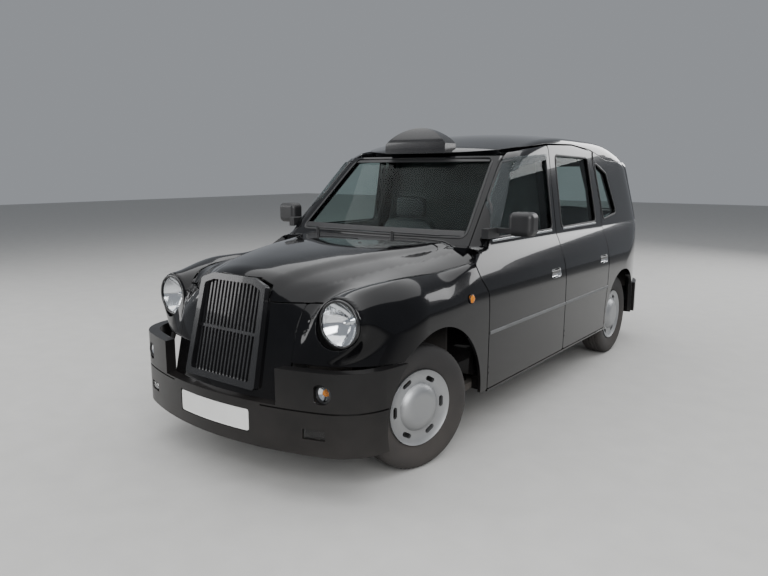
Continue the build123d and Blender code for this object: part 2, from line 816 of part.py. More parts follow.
def grille_face(shrink):
    """The grille's outline in its own leaning plane, shrunk and rounded."""
    with BuildSketch(grille_plane) as face:
        with BuildLine():
            Polyline(*grille_outline, close=True)
        make_face()
        offset(amount=-shrink, kind=Kind.INTERSECTION, mode=Mode.REPLACE)
        fillet(face.vertices(), 18)
    return face.sketch


with BuildPart() as wing_left:
    add(front_skin)
    add(side_prism(behind_wing, 0, 1000, grow=shut_gap / 2), mode=Mode.SUBTRACT)
    add(block(wing_split_x, 1000, -2400, -900, sill_z + 12, 1300), mode=Mode.INTERSECT)
    add(bonnet_prism(shut_gap / 2), mode=Mode.SUBTRACT)
    add(block(0, 1000, -2400, -1700, 0, bumper_top_z + 1), mode=Mode.SUBTRACT)
    add(front_arch, mode=Mode.SUBTRACT)
    add(block(0, 1000, -2400, front_axle_y, 0, 500), mode=Mode.SUBTRACT)
    add(headlamp_holes, mode=Mode.SUBTRACT)
    add(cylinder((half_width, side_lamp_y, side_lamp_z), (1, 0, 0), side_lamp_radius + seat_gap, 24),
        mode=Mode.SUBTRACT)
write(both_sides(wing_left.part), "front_wings")

with BuildPart() as nose_panel:
    add(front_skin)
    add(block(-wing_split_x, wing_split_x, -2400, -1900, bumper_split_z + 1, nose_panel_top), mode=Mode.INTERSECT)
    extrude(grille_face(20), amount=200, both=True, mode=Mode.SUBTRACT)
    add(headlamp_holes, mode=Mode.SUBTRACT)
write(nose_panel.part, "nose_panel")

with BuildPart() as bonnet:
    add(bonnet_skin)
    add(bonnet_prism(-shut_gap / 2), mode=Mode.INTERSECT)
    add(front_prism(grille_front, -2400, -2020, grow=grille_room), mode=Mode.SUBTRACT)
    add(headlamp_holes, mode=Mode.SUBTRACT)
    for side in (-1, 1):
        x = side * bonnet_hinge_x
        add(cylinder((x, bonnet_hinge_y, bonnet_hinge_z), (1, 0, 0), bonnet_eye_radius, 24))
        add(block(x - 12, x + 12, bonnet_rear_y - 20, bonnet_hinge_y, bonnet_hinge_z - bonnet_eye_radius,
                  bonnet_hinge_z + bonnet_eye_radius))
        add(cylinder((x, bonnet_hinge_y, bonnet_hinge_z), (1, 0, 0), bonnet_pin_radius + running_clearance, 24),
            mode=Mode.SUBTRACT)
write(bonnet.part, "bonnet")

with BuildPart() as scuttle:
    add(scuttle_skin)
    add(block(-640, 640, scuttle_front_y, scuttle_front_y + scuttle_flange, 1000, 1110))
    add(block(-640, 640, -1075, scuttle_front_y + scuttle_flange, 990, 1010))
    for side in (-1, 1):
        x = side * bonnet_hinge_x
        add(block(x - 26, x + 26, scuttle_front_y - 14, bonnet_hinge_y + 14, 1100, 1200), mode=Mode.SUBTRACT)
        add(cylinder((x, bonnet_hinge_y, bonnet_hinge_z), (1, 0, 0), bonnet_pin_radius, 56))
write(scuttle.part, "scuttle")


def bumper_plan(grow, height):
    """Plan of the front bumper: a shallow front arc, a corner arc and a side arc, back to the wheel arch."""
    side = half_width + grow
    turns = (radians(0), radians(12), radians(70))
    radii = (1200 + grow, 300 + grow, 1918 + grow)
    x0, y0 = side, bumper_side_y
    x1 = x0 - radii[0] * (1 - cos(turns[1]))
    y1 = y0 - radii[0] * sin(turns[1])
    x2 = x1 - radii[1] * (cos(turns[1]) - cos(turns[2]))
    y2 = y1 - radii[1] * (sin(turns[2]) - sin(turns[1]))
    xa = x0 - radii[0] * (1 - cos(turns[1] / 2))
    ya = y0 - radii[0] * sin(turns[1] / 2)
    half = (turns[1] + turns[2]) / 2
    xb = x1 - radii[1] * (cos(turns[1]) - cos(half))
    yb = y1 - radii[1] * (sin(half) - sin(turns[1]))
    apex = y2 - x2 * (1 - sin(turns[2])) / cos(turns[2])
    with BuildSketch(Plane.XY.offset(height)) as plan:
        with BuildLine():
            ThreePointArc((x2, y2), (0, apex), (-x2, y2))
            ThreePointArc((-x2, y2), (-xb, yb), (-x1, y1))
            ThreePointArc((-x1, y1), (-xa, ya), (-x0, y0))
            Line((-x0, y0), (-x0, -1500))
            Line((-x0, -1500), (x0, -1500))
            Line((x0, -1500), (x0, y0))
            ThreePointArc((x0, y0), (xa, ya), (x1, y1))
            ThreePointArc((x1, y1), (xb, yb), (x2, y2))
        make_face()
    return plan.sketch


def bumper_rim(deep, low, high):
    """The outer layer of the front bumper, so deep, between two heights."""
    with BuildPart() as layer:
        extrude(bumper_plan(bumper_flare + 20, low), amount=high - low)
        extrude(bumper_plan(bumper_flare - deep, low), amount=high - low, mode=Mode.SUBTRACT)
    return layer.part


# Bumpers: the front one has deep corner blocks over a lower valance, a flat seat for the plate, and low lamps
low_lamp_layer = bumper_rim(low_lamp_deep, low_lamp_z[0], low_lamp_z[1])
with BuildPart() as front_bumper:
    extrude(bumper_plan(bumper_flare, bumper_bottom_z), amount=bumper_top_z - bumper_bottom_z)
    extrude(bumper_plan(bumper_flare - bumper_depth, bumper_bottom_z), amount=bumper_top_z - bumper_bottom_z,
            mode=Mode.SUBTRACT)
    add(block(-1000, 1000, -1700, -1400, 0, 1000), mode=Mode.SUBTRACT)
    add(block(-front_corner_top_x, front_corner_top_x, -2400, -1500, bumper_split_z, 1000), mode=Mode.SUBTRACT)
    add(front_arch, mode=Mode.SUBTRACT)
    add(mirror(front_arch, about=Plane.YZ), mode=Mode.SUBTRACT)
    add(front_form(-0.5), mode=Mode.SUBTRACT)
    for side in (-1, 1):
        add(cylinder((side * front_lamp_x, front_lamp_y, front_lamp_z), (0, 1, 0), front_lamp_radius, 60),
            mode=Mode.SUBTRACT)
        add(block(side * rail_x - 28, side * rail_x + 28, -2226, rail_front_y, sill_z - rail_height + 5, sill_z - 2))
        with BuildPart(mode=Mode.PRIVATE) as groove:
            add(bumper_rim(bumper_groove_deep, bumper_split_z - 16, bumper_split_z - 16 + bumper_groove))
            low, high = sorted((side * bumper_groove_x, side * 1000))
            add(block(low, high, -2400, -1700, 0, 1000), mode=Mode.INTERSECT)
        add(groove, mode=Mode.SUBTRACT)
        with BuildPart(mode=Mode.PRIVATE) as low_lamp_seat:
            add(low_lamp_layer)
            low, high = sorted((side * low_lamp_x[0], side * low_lamp_x[1]))
            add(block(low, high, -2400, -1900, 0, 1000), mode=Mode.INTERSECT)
        add(low_lamp_seat, mode=Mode.SUBTRACT)
    with BuildPart(mode=Mode.PRIVATE) as plate_seat:
        add(bumper_rim(plate_seat_deep, plate_seat_z[0], plate_seat_z[1]))
        add(block(-plate_seat_x, plate_seat_x, -2400, -1900, 0, 1000), mode=Mode.INTERSECT)
    add(plate_seat, mode=Mode.SUBTRACT)


with BuildPart() as rear_bumper:
    extrude(tail_plan(-rear_bumper_flare, rear_bumper_bottom_z), amount=rear_bumper_top_z - rear_bumper_bottom_z)
rear_bumper_shell = Pos(0, rear_bumper_y - tail_y - rear_bumper_flare, 0) * rear_bumper.part
with BuildPart() as rear_bumper:
    add(rear_bumper_shell)
    add(block(-1000, 1000, -2000, rear_bumper_front_y, 0, 1000), mode=Mode.SUBTRACT)
    add(lower_body(-0.3), mode=Mode.SUBTRACT)
write(Compound(children=[*front_bumper.part.solids(), *rear_bumper.part.solids()]), "bumpers")

# Lamps
with BuildPart() as headlamp_left:
    add(headlamp_solid(headlamp_radius, headlamp_depth))
    with BuildSketch(Plane(origin=headlamp_centre, z_dir=lamp_turn)):
        Circle(headlamp_lens_radius)
    extrude(amount=8)
write(both_sides(headlamp_left.part), "headlamps")

with BuildPart() as front_lamp:
    with BuildSketch(Plane(origin=(front_lamp_x, front_lamp_y + 4, front_lamp_z), z_dir=(0, -1, 0))):
        Circle(front_lamp_radius - seat_gap)
    extrude(amount=-26)
with BuildPart() as side_lamp:
    with BuildSketch(Plane(origin=(half_width - 12, side_lamp_y, side_lamp_z), z_dir=(1, 0, 0))):
        Circle(side_lamp_radius)
    extrude(amount=20)
with BuildPart() as tail_lamp:
    add(lower_body(-4))
    add(lower_body(tail_lamp_depth), mode=Mode.SUBTRACT)
    add(front_prism(tail_lamp_outline, 1700, 2400, corner=20), mode=Mode.INTERSECT)
with BuildPart() as low_lamp:
    add(low_lamp_layer)
    extrude(bumper_plan(bumper_flare - 1, low_lamp_z[0]), amount=low_lamp_z[1] - low_lamp_z[0], mode=Mode.INTERSECT)
    add(block(low_lamp_x[0] + seat_gap, low_lamp_x[1] - seat_gap, -2400, -1900, low_lamp_z[0] + seat_gap,
              low_lamp_z[1] - seat_gap), mode=Mode.INTERSECT)
lamps = [*both_sides(front_lamp.part).solids(), *both_sides(side_lamp.part).solids(),
         *both_sides(low_lamp.part).solids(), *both_sides(tail_lamp.part).solids()]
write(Compound(children=lamps), "marker_lamps")

# Chassis: two rails joined by cross members, with the front suspension's arms and the rear beam axle
with BuildPart() as chassis_frame:
    for side in (-1, 1):
        add(block(side * rail_x - rail_width / 2, side * rail_x + rail_width / 2, rail_front_y, rail_rear_y,
                  sill_z - rail_height, sill_z))
    for y in cross_member_ys:
        add(block(-rail_x - 30, rail_x + 30, y - 30, y + 30, sill_z - rail_height - cross_member_deep,
                  sill_z - rail_height))
write(chassis_frame.part, "chassis_frame")

upright_low = lower_arm_z + arm_thick / 2 + seat_gap
upright_high = upper_arm_z - arm_thick / 2 - seat_gap
pin_reach = 34
with BuildPart() as arms_left:
    for z in (lower_arm_z, upper_arm_z):
        with BuildSketch(Plane.XY.offset(z - arm_thick / 2)):
            with BuildLine():
                Polyline((kingpin_x, front_axle_y - 22), (kingpin_x, front_axle_y + 22),
                         (arm_root_x, front_axle_y + arm_root_half), (arm_root_x, front_axle_y - arm_root_half),
                         close=True)
            make_face()
            with Locations((kingpin_x, front_axle_y)):
                Circle(28)
            with Locations((arm_root_x + 70, front_axle_y)):
                Rectangle(50, arm_root_half, mode=Mode.SUBTRACT)
        extrude(amount=arm_thick)
    with Locations((kingpin_x, front_axle_y, lower_arm_z + pin_reach / 2)):
        Cylinder(kingpin_radius, pin_reach)
    with Locations((kingpin_x, front_axle_y, upper_arm_z - pin_reach / 2)):
        Cylinder(kingpin_radius, pin_reach)
    add(block(arm_root_x - turret_deep, arm_root_x, front_axle_y - arm_root_half, front_axle_y + arm_root_half,
              lower_arm_z - arm_thick / 2, upper_arm_z + 60))
with BuildPart() as front_suspension:
    add(both_sides(arms_left.part))
    add(block(-arm_root_x, arm_root_x, front_axle_y - 60, front_axle_y + 60,
              lower_arm_z - arm_thick / 2, sill_z - rail_height))
write(front_suspension.part, "front_suspension")

with BuildPart() as rear_axle:
    add(cylinder((0, rear_axle_y, hub_z), (1, 0, 0), 38, 2 * rear_hub_x))
    add(cylinder((0, rear_axle_y, hub_z), (1, 0, 0), spindle_radius, track + 60))
    with Locations((0, rear_axle_y, hub_z)):
        Sphere(118)
    for side in (-1, 1):
        add(block(side * spring_x - 32, side * spring_x + 32, spring_front_y, spring_rear_y,
                  sill_z - 26, sill_z))
        add(block(side * spring_x - 45, side * spring_x + 45, rear_axle_y - 60, rear_axle_y + 60,
                  sill_z, hub_z - 20))
        add(block(side * spring_x - 25, side * spring_x + 25, spring_rear_y - 40, spring_rear_y,
                  sill_z, boot_floor_z))
    add(cylinder((0, (gearbox_rear_y + rear_axle_y) / 2 + 2, propshaft_z), (0, 1, 0), propshaft_radius,
                 rear_axle_y - gearbox_rear_y - 100))
write(rear_axle.part, "rear_axle")

# Knuckle, drawn straight ahead and then turned to the rest angle
with BuildPart() as knuckle:
    with BuildSketch(Plane.XY.offset(upright_low)):
        RectangleRounded(56, 64, 18)
        with Locations((0, 0)):
            Circle(kingpin_radius + running_clearance, mode=Mode.SUBTRACT)
    extrude(amount=pin_reach + 6)
    with BuildSketch(Plane.XY.offset(upright_low + pin_reach + 6)):
        RectangleRounded(56, 64, 18)
    extrude(amount=upright_high - upright_low - 2 * (pin_reach + 6))
    with BuildSketch(Plane.XY.offset(upright_high - pin_reach - 6)):
        RectangleRounded(56, 64, 18)
        with Locations((0, 0)):
            Circle(kingpin_radius + running_clearance, mode=Mode.SUBTRACT)
    extrude(amount=pin_reach + 6)
    add(cylinder((hub_offset / 2, 0, hub_z), (1, 0, 0), 30, hub_offset))
    add(cylinder(((hub_offset + spindle_end) / 2, 0, hub_z), (1, 0, 0), spindle_radius, spindle_end - hub_offset))
    add(block(-14, 14, 24, steering_arm, steering_arm_z, steering_arm_z + 20))
    with Locations((0, steering_arm, steering_arm_z + 10)):
        Cylinder(19, 20)
    with Locations((0, steering_arm, steering_arm_z - 16)):
        Cylinder(ball_pin_radius, 32)


def at_kingpin(solid, side):
    """A piece drawn about the kingpin, moved to one side of the cab and turned to the rest angle."""
    placed = solid if side > 0 else mirror(solid, about=Plane.YZ)
    return Pos(side * kingpin_x, front_axle_y, 0) * (Rot(0, 0, rest_steer) * placed)


write(at_kingpin(knuckle.part, 1), "knuckle_left")
write(at_kingpin(knuckle.part, -1), "knuckle_right")

arm_dx = -steering_arm * sin(radians(rest_steer))
arm_dy = steering_arm * cos(radians(rest_steer))
with BuildPart() as track_rod:
    add(cylinder((arm_dx, front_axle_y + arm_dy, track_rod_z), (1, 0, 0), track_rod_radius, 2 * kingpin_x - 30))
    for side in (-1, 1):
        with Locations((side * kingpin_x + arm_dx, front_axle_y + arm_dy, track_rod_z)):
            Cylinder(20, 26)
    with Locations((kingpin_x + arm_dx, front_axle_y + arm_dy, track_rod_z)):
        Cylinder(ball_pin_radius + running_clearance, 26, mode=Mode.SUBTRACT)
    with Locations((-kingpin_x + arm_dx, front_axle_y + arm_dy, track_rod_z)):
        Cylinder(ball_pin_radius + open_pivot_clearance, 26, mode=Mode.SUBTRACT)
write(track_rod.part, "track_rod")

# Wheel and tyre, revolved about the X axis with the outer face towards +X
half_rim = rim_width / 2
with BuildPart() as wheel:
    with BuildSketch(Plane.XZ) as section:
        with BuildLine():
            Polyline((-half_rim, rim_radius), (-half_rim, rim_radius - 8), (half_rim - 26, rim_radius - 26),
                     (half_rim - 26, 150), (half_rim - 44, 120), (half_rim - 44, hub_radius),
                     (hub_inner_x, hub_radius), (hub_inner_x, spindle_radius + running_clearance),
                     (half_rim - 6, spindle_radius + running_clearance), (half_rim - 6, 0),
                     (half_rim + wheel_trim_bulge, 0))
            Line((half_rim + wheel_trim_bulge, 0), (half_rim + wheel_trim_bulge, 66))
            ThreePointArc((half_rim + wheel_trim_bulge, 66), (half_rim + wheel_trim_bulge - 8, 100),
                          (half_rim - 8, 128))
            ThreePointArc((half_rim - 8, 128), (half_rim - 10, 165), (half_rim + 6, rim_radius))
            Line((half_rim + 6, rim_radius), (-half_rim, rim_radius))
        make_face()
    revolve(axis=Axis.X)
    with BuildSketch(Plane.YZ.offset(half_rim - 60)):
        with PolarLocations(slot_circle, trim_slot_count):
            SlotOverall(slot_length, slot_width, rotation=90)
    extrude(amount=120, mode=Mode.SUBTRACT)
with BuildPart() as tyre:
    half = tyre_width / 2
    with BuildSketch(Plane.XZ):
        with BuildLine():
            bead = rim_radius + seat_gap
            Line((-half_rim + 2, bead), (half_rim - 2, bead))
            ThreePointArc((half_rim - 2, bead), (half, (bead + tyre_radius) / 2 - 6), (tread_half, tyre_radius - 9))
            ThreePointArc((tread_half, tyre_radius - 9), (0, tyre_radius), (-tread_half, tyre_radius - 9))
            ThreePointArc((-tread_half, tyre_radius - 9), (-half, (bead + tyre_radius) / 2 - 6), (-half_rim + 2, bead))
        make_face()
    revolve(axis=Axis.X)
for name, side, y in (("front_left", 1, front_axle_y), ("front_right", -1, front_axle_y),
                      ("rear_left", 1, rear_axle_y), ("rear_right", -1, rear_axle_y)):
    for solid, kind in ((wheel.part, "wheel"), (tyre.part, "tyre")):
        if y == front_axle_y:
            placed = at_kingpin(Pos(track / 2 - kingpin_x, 0, hub_z) * solid, side)
        else:
            placed = Pos(track / 2, y, hub_z) * solid
            placed = placed if side > 0 else mirror(placed, about=Plane.YZ)
        write(placed, f"{kind}_{name}")

# Floor, wheel boxes and bulkhead
with BuildPart() as floor_pan:
    add(lower_body(wall + seat_gap))
    add(block(-1000, 1000, rear_floor_y, 2200, boot_floor_z, boot_floor_z + boot_floor_thick), mode=Mode.INTERSECT)
    for side in (-1, 1):
        low, high = sorted((side * wheel_box_x, side * 1000))
        add(block(low, high, rear_floor_y, wheel_box_rear_y, 400, 800), mode=Mode.SUBTRACT)
    add(block(-760, 760, bulkhead_y, rear_floor_y, sill_z, sill_z + floor_thick))
    add(block(-wheel_box_x, wheel_box_x, rear_floor_y, rear_floor_y + 20, sill_z, boot_floor_z))
    add(block(-640, 640, bulkhead_y - 20, bulkhead_y, sill_z, 990))
    tunnel_x = gearbox_half_x + tunnel_gap
    add(block(-tunnel_x - 12, tunnel_x + 12, bulkhead_y, gearbox_rear_y + 24, sill_z, 550))
    add(block(-tunnel_x, tunnel_x, -1300, gearbox_rear_y + tunnel_gap, 0, 538), mode=Mode.SUBTRACT)
    for side in (-1, 1):
        low, high = sorted((side * wheel_box_x, side * (wheel_box_x + wheel_box_wall)))
        add(block(low, high, wheel_box_front_y, wheel_box_rear_y, sill_z, wheel_box_top_z))
        low, high = sorted((side * wheel_box_x, side * 815))
        add(block(low, high, wheel_box_front_y, wheel_box_rear_y, wheel_box_top_z - wheel_box_wall,
                  wheel_box_top_z))
        add(block(low, high, wheel_box_front_y, wheel_box_front_y + wheel_box_wall, sill_z, wheel_box_top_z))
        add(block(low, high, wheel_box_rear_y - wheel_box_wall, wheel_box_rear_y, boot_floor_z,
                  wheel_box_top_z))
        low, high = sorted((side * 362, side * 374))
        add(block(low, high, -1960, bulkhead_y, 500, 960))
    axle_slot_x = wheel_box_x + wheel_box_wall + 5
    add(block(-axle_slot_x, axle_slot_x, rear_axle_y - axle_slot_half, rear_axle_y + axle_slot_half, sill_z - 5,
              axle_slot_top_z), mode=Mode.SUBTRACT)
    add(side_left, mode=Mode.SUBTRACT)
    add(rear_panel, mode=Mode.SUBTRACT)
    for door in (front_door_left, rear_door_left):
        add(door, mode=Mode.SUBTRACT)
        add(mirror(door.part, about=Plane.YZ), mode=Mode.SUBTRACT)
write(floor_pan.part, "floor_pan")

# Engine with its gearbox, exhaust and fuel tank
with BuildPart() as engine_block:
    add(block(-engine_half_x, engine_half_x, -1950, -1290, engine_low_z, 960, 40))
    add(block(-gearbox_half_x, gearbox_half_x, -1290, gearbox_rear_y, gearbox_low_z, 520, 40))
    for side in (-1, 1):
        low, high = sorted((side * (engine_half_x - 5), side * (rail_x + 20)))
        add(block(low, high, -1700, -1650, sill_z, engine_low_z + 30))
write(engine_block.part, "engine_block")

with BuildPart() as exhaust:
    add(cylinder((exhaust_x, exhaust_rear_y - 800, exhaust_z), (0, 1, 0), 24, 1600))
    add(cylinder((exhaust_x, 200, exhaust_z), (0, 1, 0), 58, 560))
    for y in (-600, 700):
        add(block(exhaust_x - 12, exhaust_x + 12, y - 20, y + 20, exhaust_z, sill_z))
write(exhaust.part, "exhaust")

with BuildPart() as fuel_tank:
    add(block(-400, 400, 1640, 2030, 300, boot_floor_z, 50))
write(fuel_tank.part, "fuel_tank")

# Cabin fittings
with BuildPart() as driver_seat:
    add(block(driver_x - 240, driver_x + 240, -640, -150, cabin_floor_z, cabin_floor_z + 150, 20))
    add(block(driver_x - 250, driver_x + 250, -660, -130, cabin_floor_z + 150, cabin_floor_z + 290, 50))
    add(side_prism(((-170, 560), (-40, 560), (70, 1180), (0, 1200), (-60, 1190)), driver_x - 240, driver_x + 240,
                   corner=20))
    add(block(driver_x - 130, driver_x + 130, -20, 60, 1190, 1360, 30))
write(driver_seat.part, "driver_seat")

with BuildPart() as passenger_seats:
    add(block(-555, 555, 1022, 1520, boot_floor_z + 25, 760, 40))
    add(side_prism(((1440, 760), (1560, 760), (1660, 1230), (1560, 1250)), -555, 555, corner=20))
    add(block(-555, 555, 1520, 1560, boot_floor_z + 25, 780))
    for side in (-1, 1):
        add(block(side * 330 - 210, side * 330 + 210, partition_y + partition_thick + seat_gap, partition_y + 100, 470, 1000, 30))
        add(block(side * 330 - 190, side * 330 + 190, partition_y + 100, partition_y + 170, 480, 760, 30))
write(passenger_seats.part, "passenger_seats")

with BuildPart() as dashboard:
    add(side_prism(((dash_front_y, 1045), (dash_front_y, 780), (-820, 780), (-740, 860), (-760, 1000), (-890, 1045)),
                   -635, 635, corner=18))
    with BuildSketch(Plane(origin=(driver_x, column_y, column_z), z_dir=column_direction)):
        Circle(34)
    extrude(amount=-260)
    with BuildSketch(Plane(origin=(driver_x, column_y, column_z), z_dir=column_direction)):
        Circle(12)
    extrude(amount=60)
write(dashboard.part, "dashboard")

with BuildPart() as steering_wheel:
    with BuildSketch(Plane(origin=(driver_x, column_y, column_z), x_dir=(1, 0, 0), z_dir=column_direction)):
        Circle(45)
        Circle(12 + running_clearance, mode=Mode.SUBTRACT)
    extrude(amount=60 - seat_gap, both=False)
    with BuildSketch(Plane(origin=(driver_x, column_y, column_z), x_dir=(1, 0, 0), z_dir=column_direction)
                     .offset(20)):
        with PolarLocations(115, 3, start_angle=-90):
            Rectangle(160, 30)
    extrude(amount=14)
    with Locations(Plane(origin=(driver_x, column_y, column_z), x_dir=(1, 0, 0), z_dir=column_direction)
                   .offset(27).location):
        Torus(190, 15)
steering_wheel_solid = Pos(0, seat_gap * 0.9, seat_gap * 0.42) * steering_wheel.part
write(steering_wheel_solid, "steering_wheel")

# Grille: a leaning frame with upright slats
with BuildPart() as grille_frame:
    extrude(grille_face(0), amount=grille_proud)
    extrude(grille_face(0), amount=-40)
    add(front_form(-seat_gap), mode=Mode.SUBTRACT)
    extrude(grille_face(20 + seat_gap), amount=grille_proud)
    extrude(grille_face(20 + seat_gap), amount=-40)
    extrude(grille_face(grille_frame_width), amount=100, both=True, mode=Mode.SUBTRACT)
with BuildPart() as grille_slats:
    spacing = 2 * (grille_foot_x - grille_frame_width) / (slat_count + 1)
    with BuildSketch(grille_plane.offset(-26)):
        with Locations((0, (grille_crown_z - grille_foot_z) / 2)):
            with GridLocations(spacing, 0, slat_count, 1):
                Rectangle(slat_width, 2000)
            Rectangle(1000, 16)
    extrude(amount=22)
    extrude(grille_face(grille_frame_width), amount=60, both=True, mode=Mode.INTERSECT)
with BuildPart() as grille:
    add(grille_frame)
    add(grille_slats)
write(grille.part, "grille")

# Partition behind the driver, glazed above the waist
with BuildPart() as partition:
    add(frame_inside)
    add(block(-1000, 1000, partition_y, partition_y + partition_thick, cabin_floor_z, 1900), mode=Mode.INTERSECT)
    add(front_prism(partition_glass, partition_y - 1, partition_y + partition_thick / 2 - 3, corner=30),
        mode=Mode.SUBTRACT)
    add(front_prism(partition_glass, partition_y + partition_thick / 2 + 3, partition_y + partition_thick + 1,
                    corner=30), mode=Mode.SUBTRACT)
write(partition.part, "partition")

# Roof sign, blank and lens shaped
with BuildPart() as roof_sign:
    with BuildSketch(Plane.XZ.offset(-sign_rear_y)):
        with BuildLine():
            Line((-sign_half_x, 1660), (sign_half_x, 1660))
            Line((sign_half_x, 1660), (sign_half_x, 1735))
            ThreePointArc((sign_half_x, 1735), (0, sign_top_z), (-sign_half_x, 1735))
            Line((-sign_half_x, 1735), (-sign_half_x, 1660))
        make_face()
    extrude(amount=sign_rear_y - sign_front_y)
    with BuildSketch(Plane.YZ.offset(-sign_half_x)):
        with BuildLine():
            Line((sign_rear_y, 1600), (sign_front_y, 1600))
            Line((sign_front_y, 1600), (sign_front_y, 1690))
            ThreePointArc((sign_front_y, 1690), (sign_front_y + 24, 1790), (sign_top_y, sign_top_z))
            ThreePointArc((sign_top_y, sign_top_z), (sign_rear_y - 16, 1790), (sign_rear_y, 1600))
        make_face()
    extrude(amount=2 * sign_half_x, mode=Mode.INTERSECT)
    add(cab_form, mode=Mode.SUBTRACT)
    add(block(-1000, 1000, -1000, 0, 0, 1670), mode=Mode.SUBTRACT)
write(roof_sign.part, "roof_sign")

# Wipers, parked along the foot of the windscreen
with BuildPart() as wipers:
    for x, foot_z in wiper_pivots:
        add(cylinder((x, wiper_y, (foot_z + wiper_top_z) / 2), (0, 0, 1), 11, wiper_top_z - foot_z))
        add(cylinder((x + 170, wiper_y - 4, wiper_blade_z), (1, 0, 0), 5, 360))
    add(scuttle, mode=Mode.SUBTRACT)
    add(both_sides(side_left.part), mode=Mode.SUBTRACT)
write(wipers.part, "wipers")

# Door mirror, its foot on the door's front corner
with BuildPart() as mirror_left:
    with BuildSketch(Plane.XZ.offset(-mirror_rear_y)) as shell:
        with Locations(((mirror_inner_x + mirror_outer_x) / 2, mirror_z)):
            RectangleRounded(mirror_outer_x - mirror_inner_x, mirror_height, mirror_corner)
    housing = extrude(amount=mirror_rear_y - mirror_front_y)
    fillet(housing.faces().sort_by(Axis.Y)[0].edges(), mirror_round)
    add(block(770, mirror_inner_x + 30, -800, -770, 1195, 1225))
    add(block(755, 800, -905, -770, 1168, 1225))
    add(cab_form, mode=Mode.SUBTRACT)
write(mirror_left.part, "mirror_left")
write(mirror(mirror_left.part, about=Plane.YZ), "mirror_right")
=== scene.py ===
import math
import bpy
import numpy as np
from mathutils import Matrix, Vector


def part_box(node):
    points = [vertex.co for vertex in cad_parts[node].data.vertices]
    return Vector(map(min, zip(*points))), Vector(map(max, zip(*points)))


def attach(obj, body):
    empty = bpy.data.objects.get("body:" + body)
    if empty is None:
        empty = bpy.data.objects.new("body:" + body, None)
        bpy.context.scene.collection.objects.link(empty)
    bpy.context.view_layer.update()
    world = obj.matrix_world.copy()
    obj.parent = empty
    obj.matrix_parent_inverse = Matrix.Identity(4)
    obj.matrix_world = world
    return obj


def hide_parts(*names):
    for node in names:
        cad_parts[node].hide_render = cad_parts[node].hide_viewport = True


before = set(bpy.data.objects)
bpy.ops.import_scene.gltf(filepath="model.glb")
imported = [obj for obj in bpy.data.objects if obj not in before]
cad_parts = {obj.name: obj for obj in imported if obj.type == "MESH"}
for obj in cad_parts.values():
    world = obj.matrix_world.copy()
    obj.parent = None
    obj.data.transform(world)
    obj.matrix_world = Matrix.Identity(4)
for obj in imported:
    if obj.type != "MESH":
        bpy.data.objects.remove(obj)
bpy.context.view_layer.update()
SIDES = (("left", 1), ("right", -1))

# -------- Body shell
# The steel shell of the cab: sides that lean in above the waist, a crowned roof, a raked windscreen
# and a tail that closes in one round plan. All its panels are cut from this single form.


def curve(t, knots, values):
    """Smooth curve through knots: each span is the cubic with the values and mean slopes of its ends."""
    t, knots, values = np.asarray(t, float), np.asarray(knots, float), np.asarray(values, float)
    slope = np.gradient(values, knots)
    i = np.clip(np.searchsorted(knots, t) - 1, 0, len(knots) - 2)
    step = knots[i + 1] - knots[i]
    u = np.clip((t - knots[i]) / step, 0, 1)
    over = t - np.clip(t, knots[0], knots[-1])
    return ((1 + 2 * u) * (1 - u) ** 2 * values[i] + u * (1 - u) ** 2 * step * slope[i]
            + u * u * (3 - 2 * u) * values[i + 1] - u * u * (1 - u) * step * slope[i + 1]
            + over * np.where(over > 0, slope[-1], slope[0]))


def blend_min(a, b, width):
    """The lesser of two depths, rounded where they differ by less than width."""
    h = np.clip(1 - np.abs(a - b) / width, 0, 1)
    return np.minimum(a, b) - h * h * width / 4


HALF_WIDTH = 0.873
WAIST = 1.120
side_z = (.29, .42, .56, .66, .78, .83, .882, .94, 1.002, 1.06, 1.10, 1.12, 1.135, 1.16, 1.3, 1.5, 1.8, 2.0)
side_x = (.868, .8705, .8722, .873, .8728, .8708, .865, .8535, .8335, .8125, .7955, .786, .7818, .7785, .7584,
          .7289, .6846, .655)
roof_y = (-1.06, -.43, .08, .78, 1.44, 1.90, 2.30)
roof_z = (1.490, 1.683, 1.802, 1.831, 1.785, 1.640, 1.400)
roof_drop = (.045, .045, .050, .055, .060, .070, .070)


def tail_plan():
    """Plan of the tail: an arc of 1.6 m, a corner arc of 0.42 m and a shallow arc across, as (y, inset) rows."""
    a = np.radians(np.linspace(0, 17, 200))
    x, y = HALF_WIDTH - 1.6 * (1 - np.cos(a)), 1.4 + 1.6 * np.sin(a)
    b = np.radians(np.linspace(17, 80, 400))
    x = np.append(x, x[-1] - .42 * (np.cos(b[0]) - np.cos(b)))
    y = np.append(y, y[-1] + .42 * (np.sin(b) - np.sin(b[0])))
    x2, y2 = x[-1], y[-1]
    radius = (x2 ** 2 + (2.2 - y2) ** 2) / (2 * (2.2 - y2))
    c = np.linspace(x2, 0, 400)
    x = np.append(x, c)
    y = np.append(y, 2.2 - radius + np.sqrt(radius ** 2 - c ** 2))
    return y, HALF_WIDTH - x


plan_y, plan_inset = tail_plan()
plan_slope = np.clip(np.gradient(plan_inset, plan_y + np.arange(len(plan_y)) * 1e-9), 0, 12)


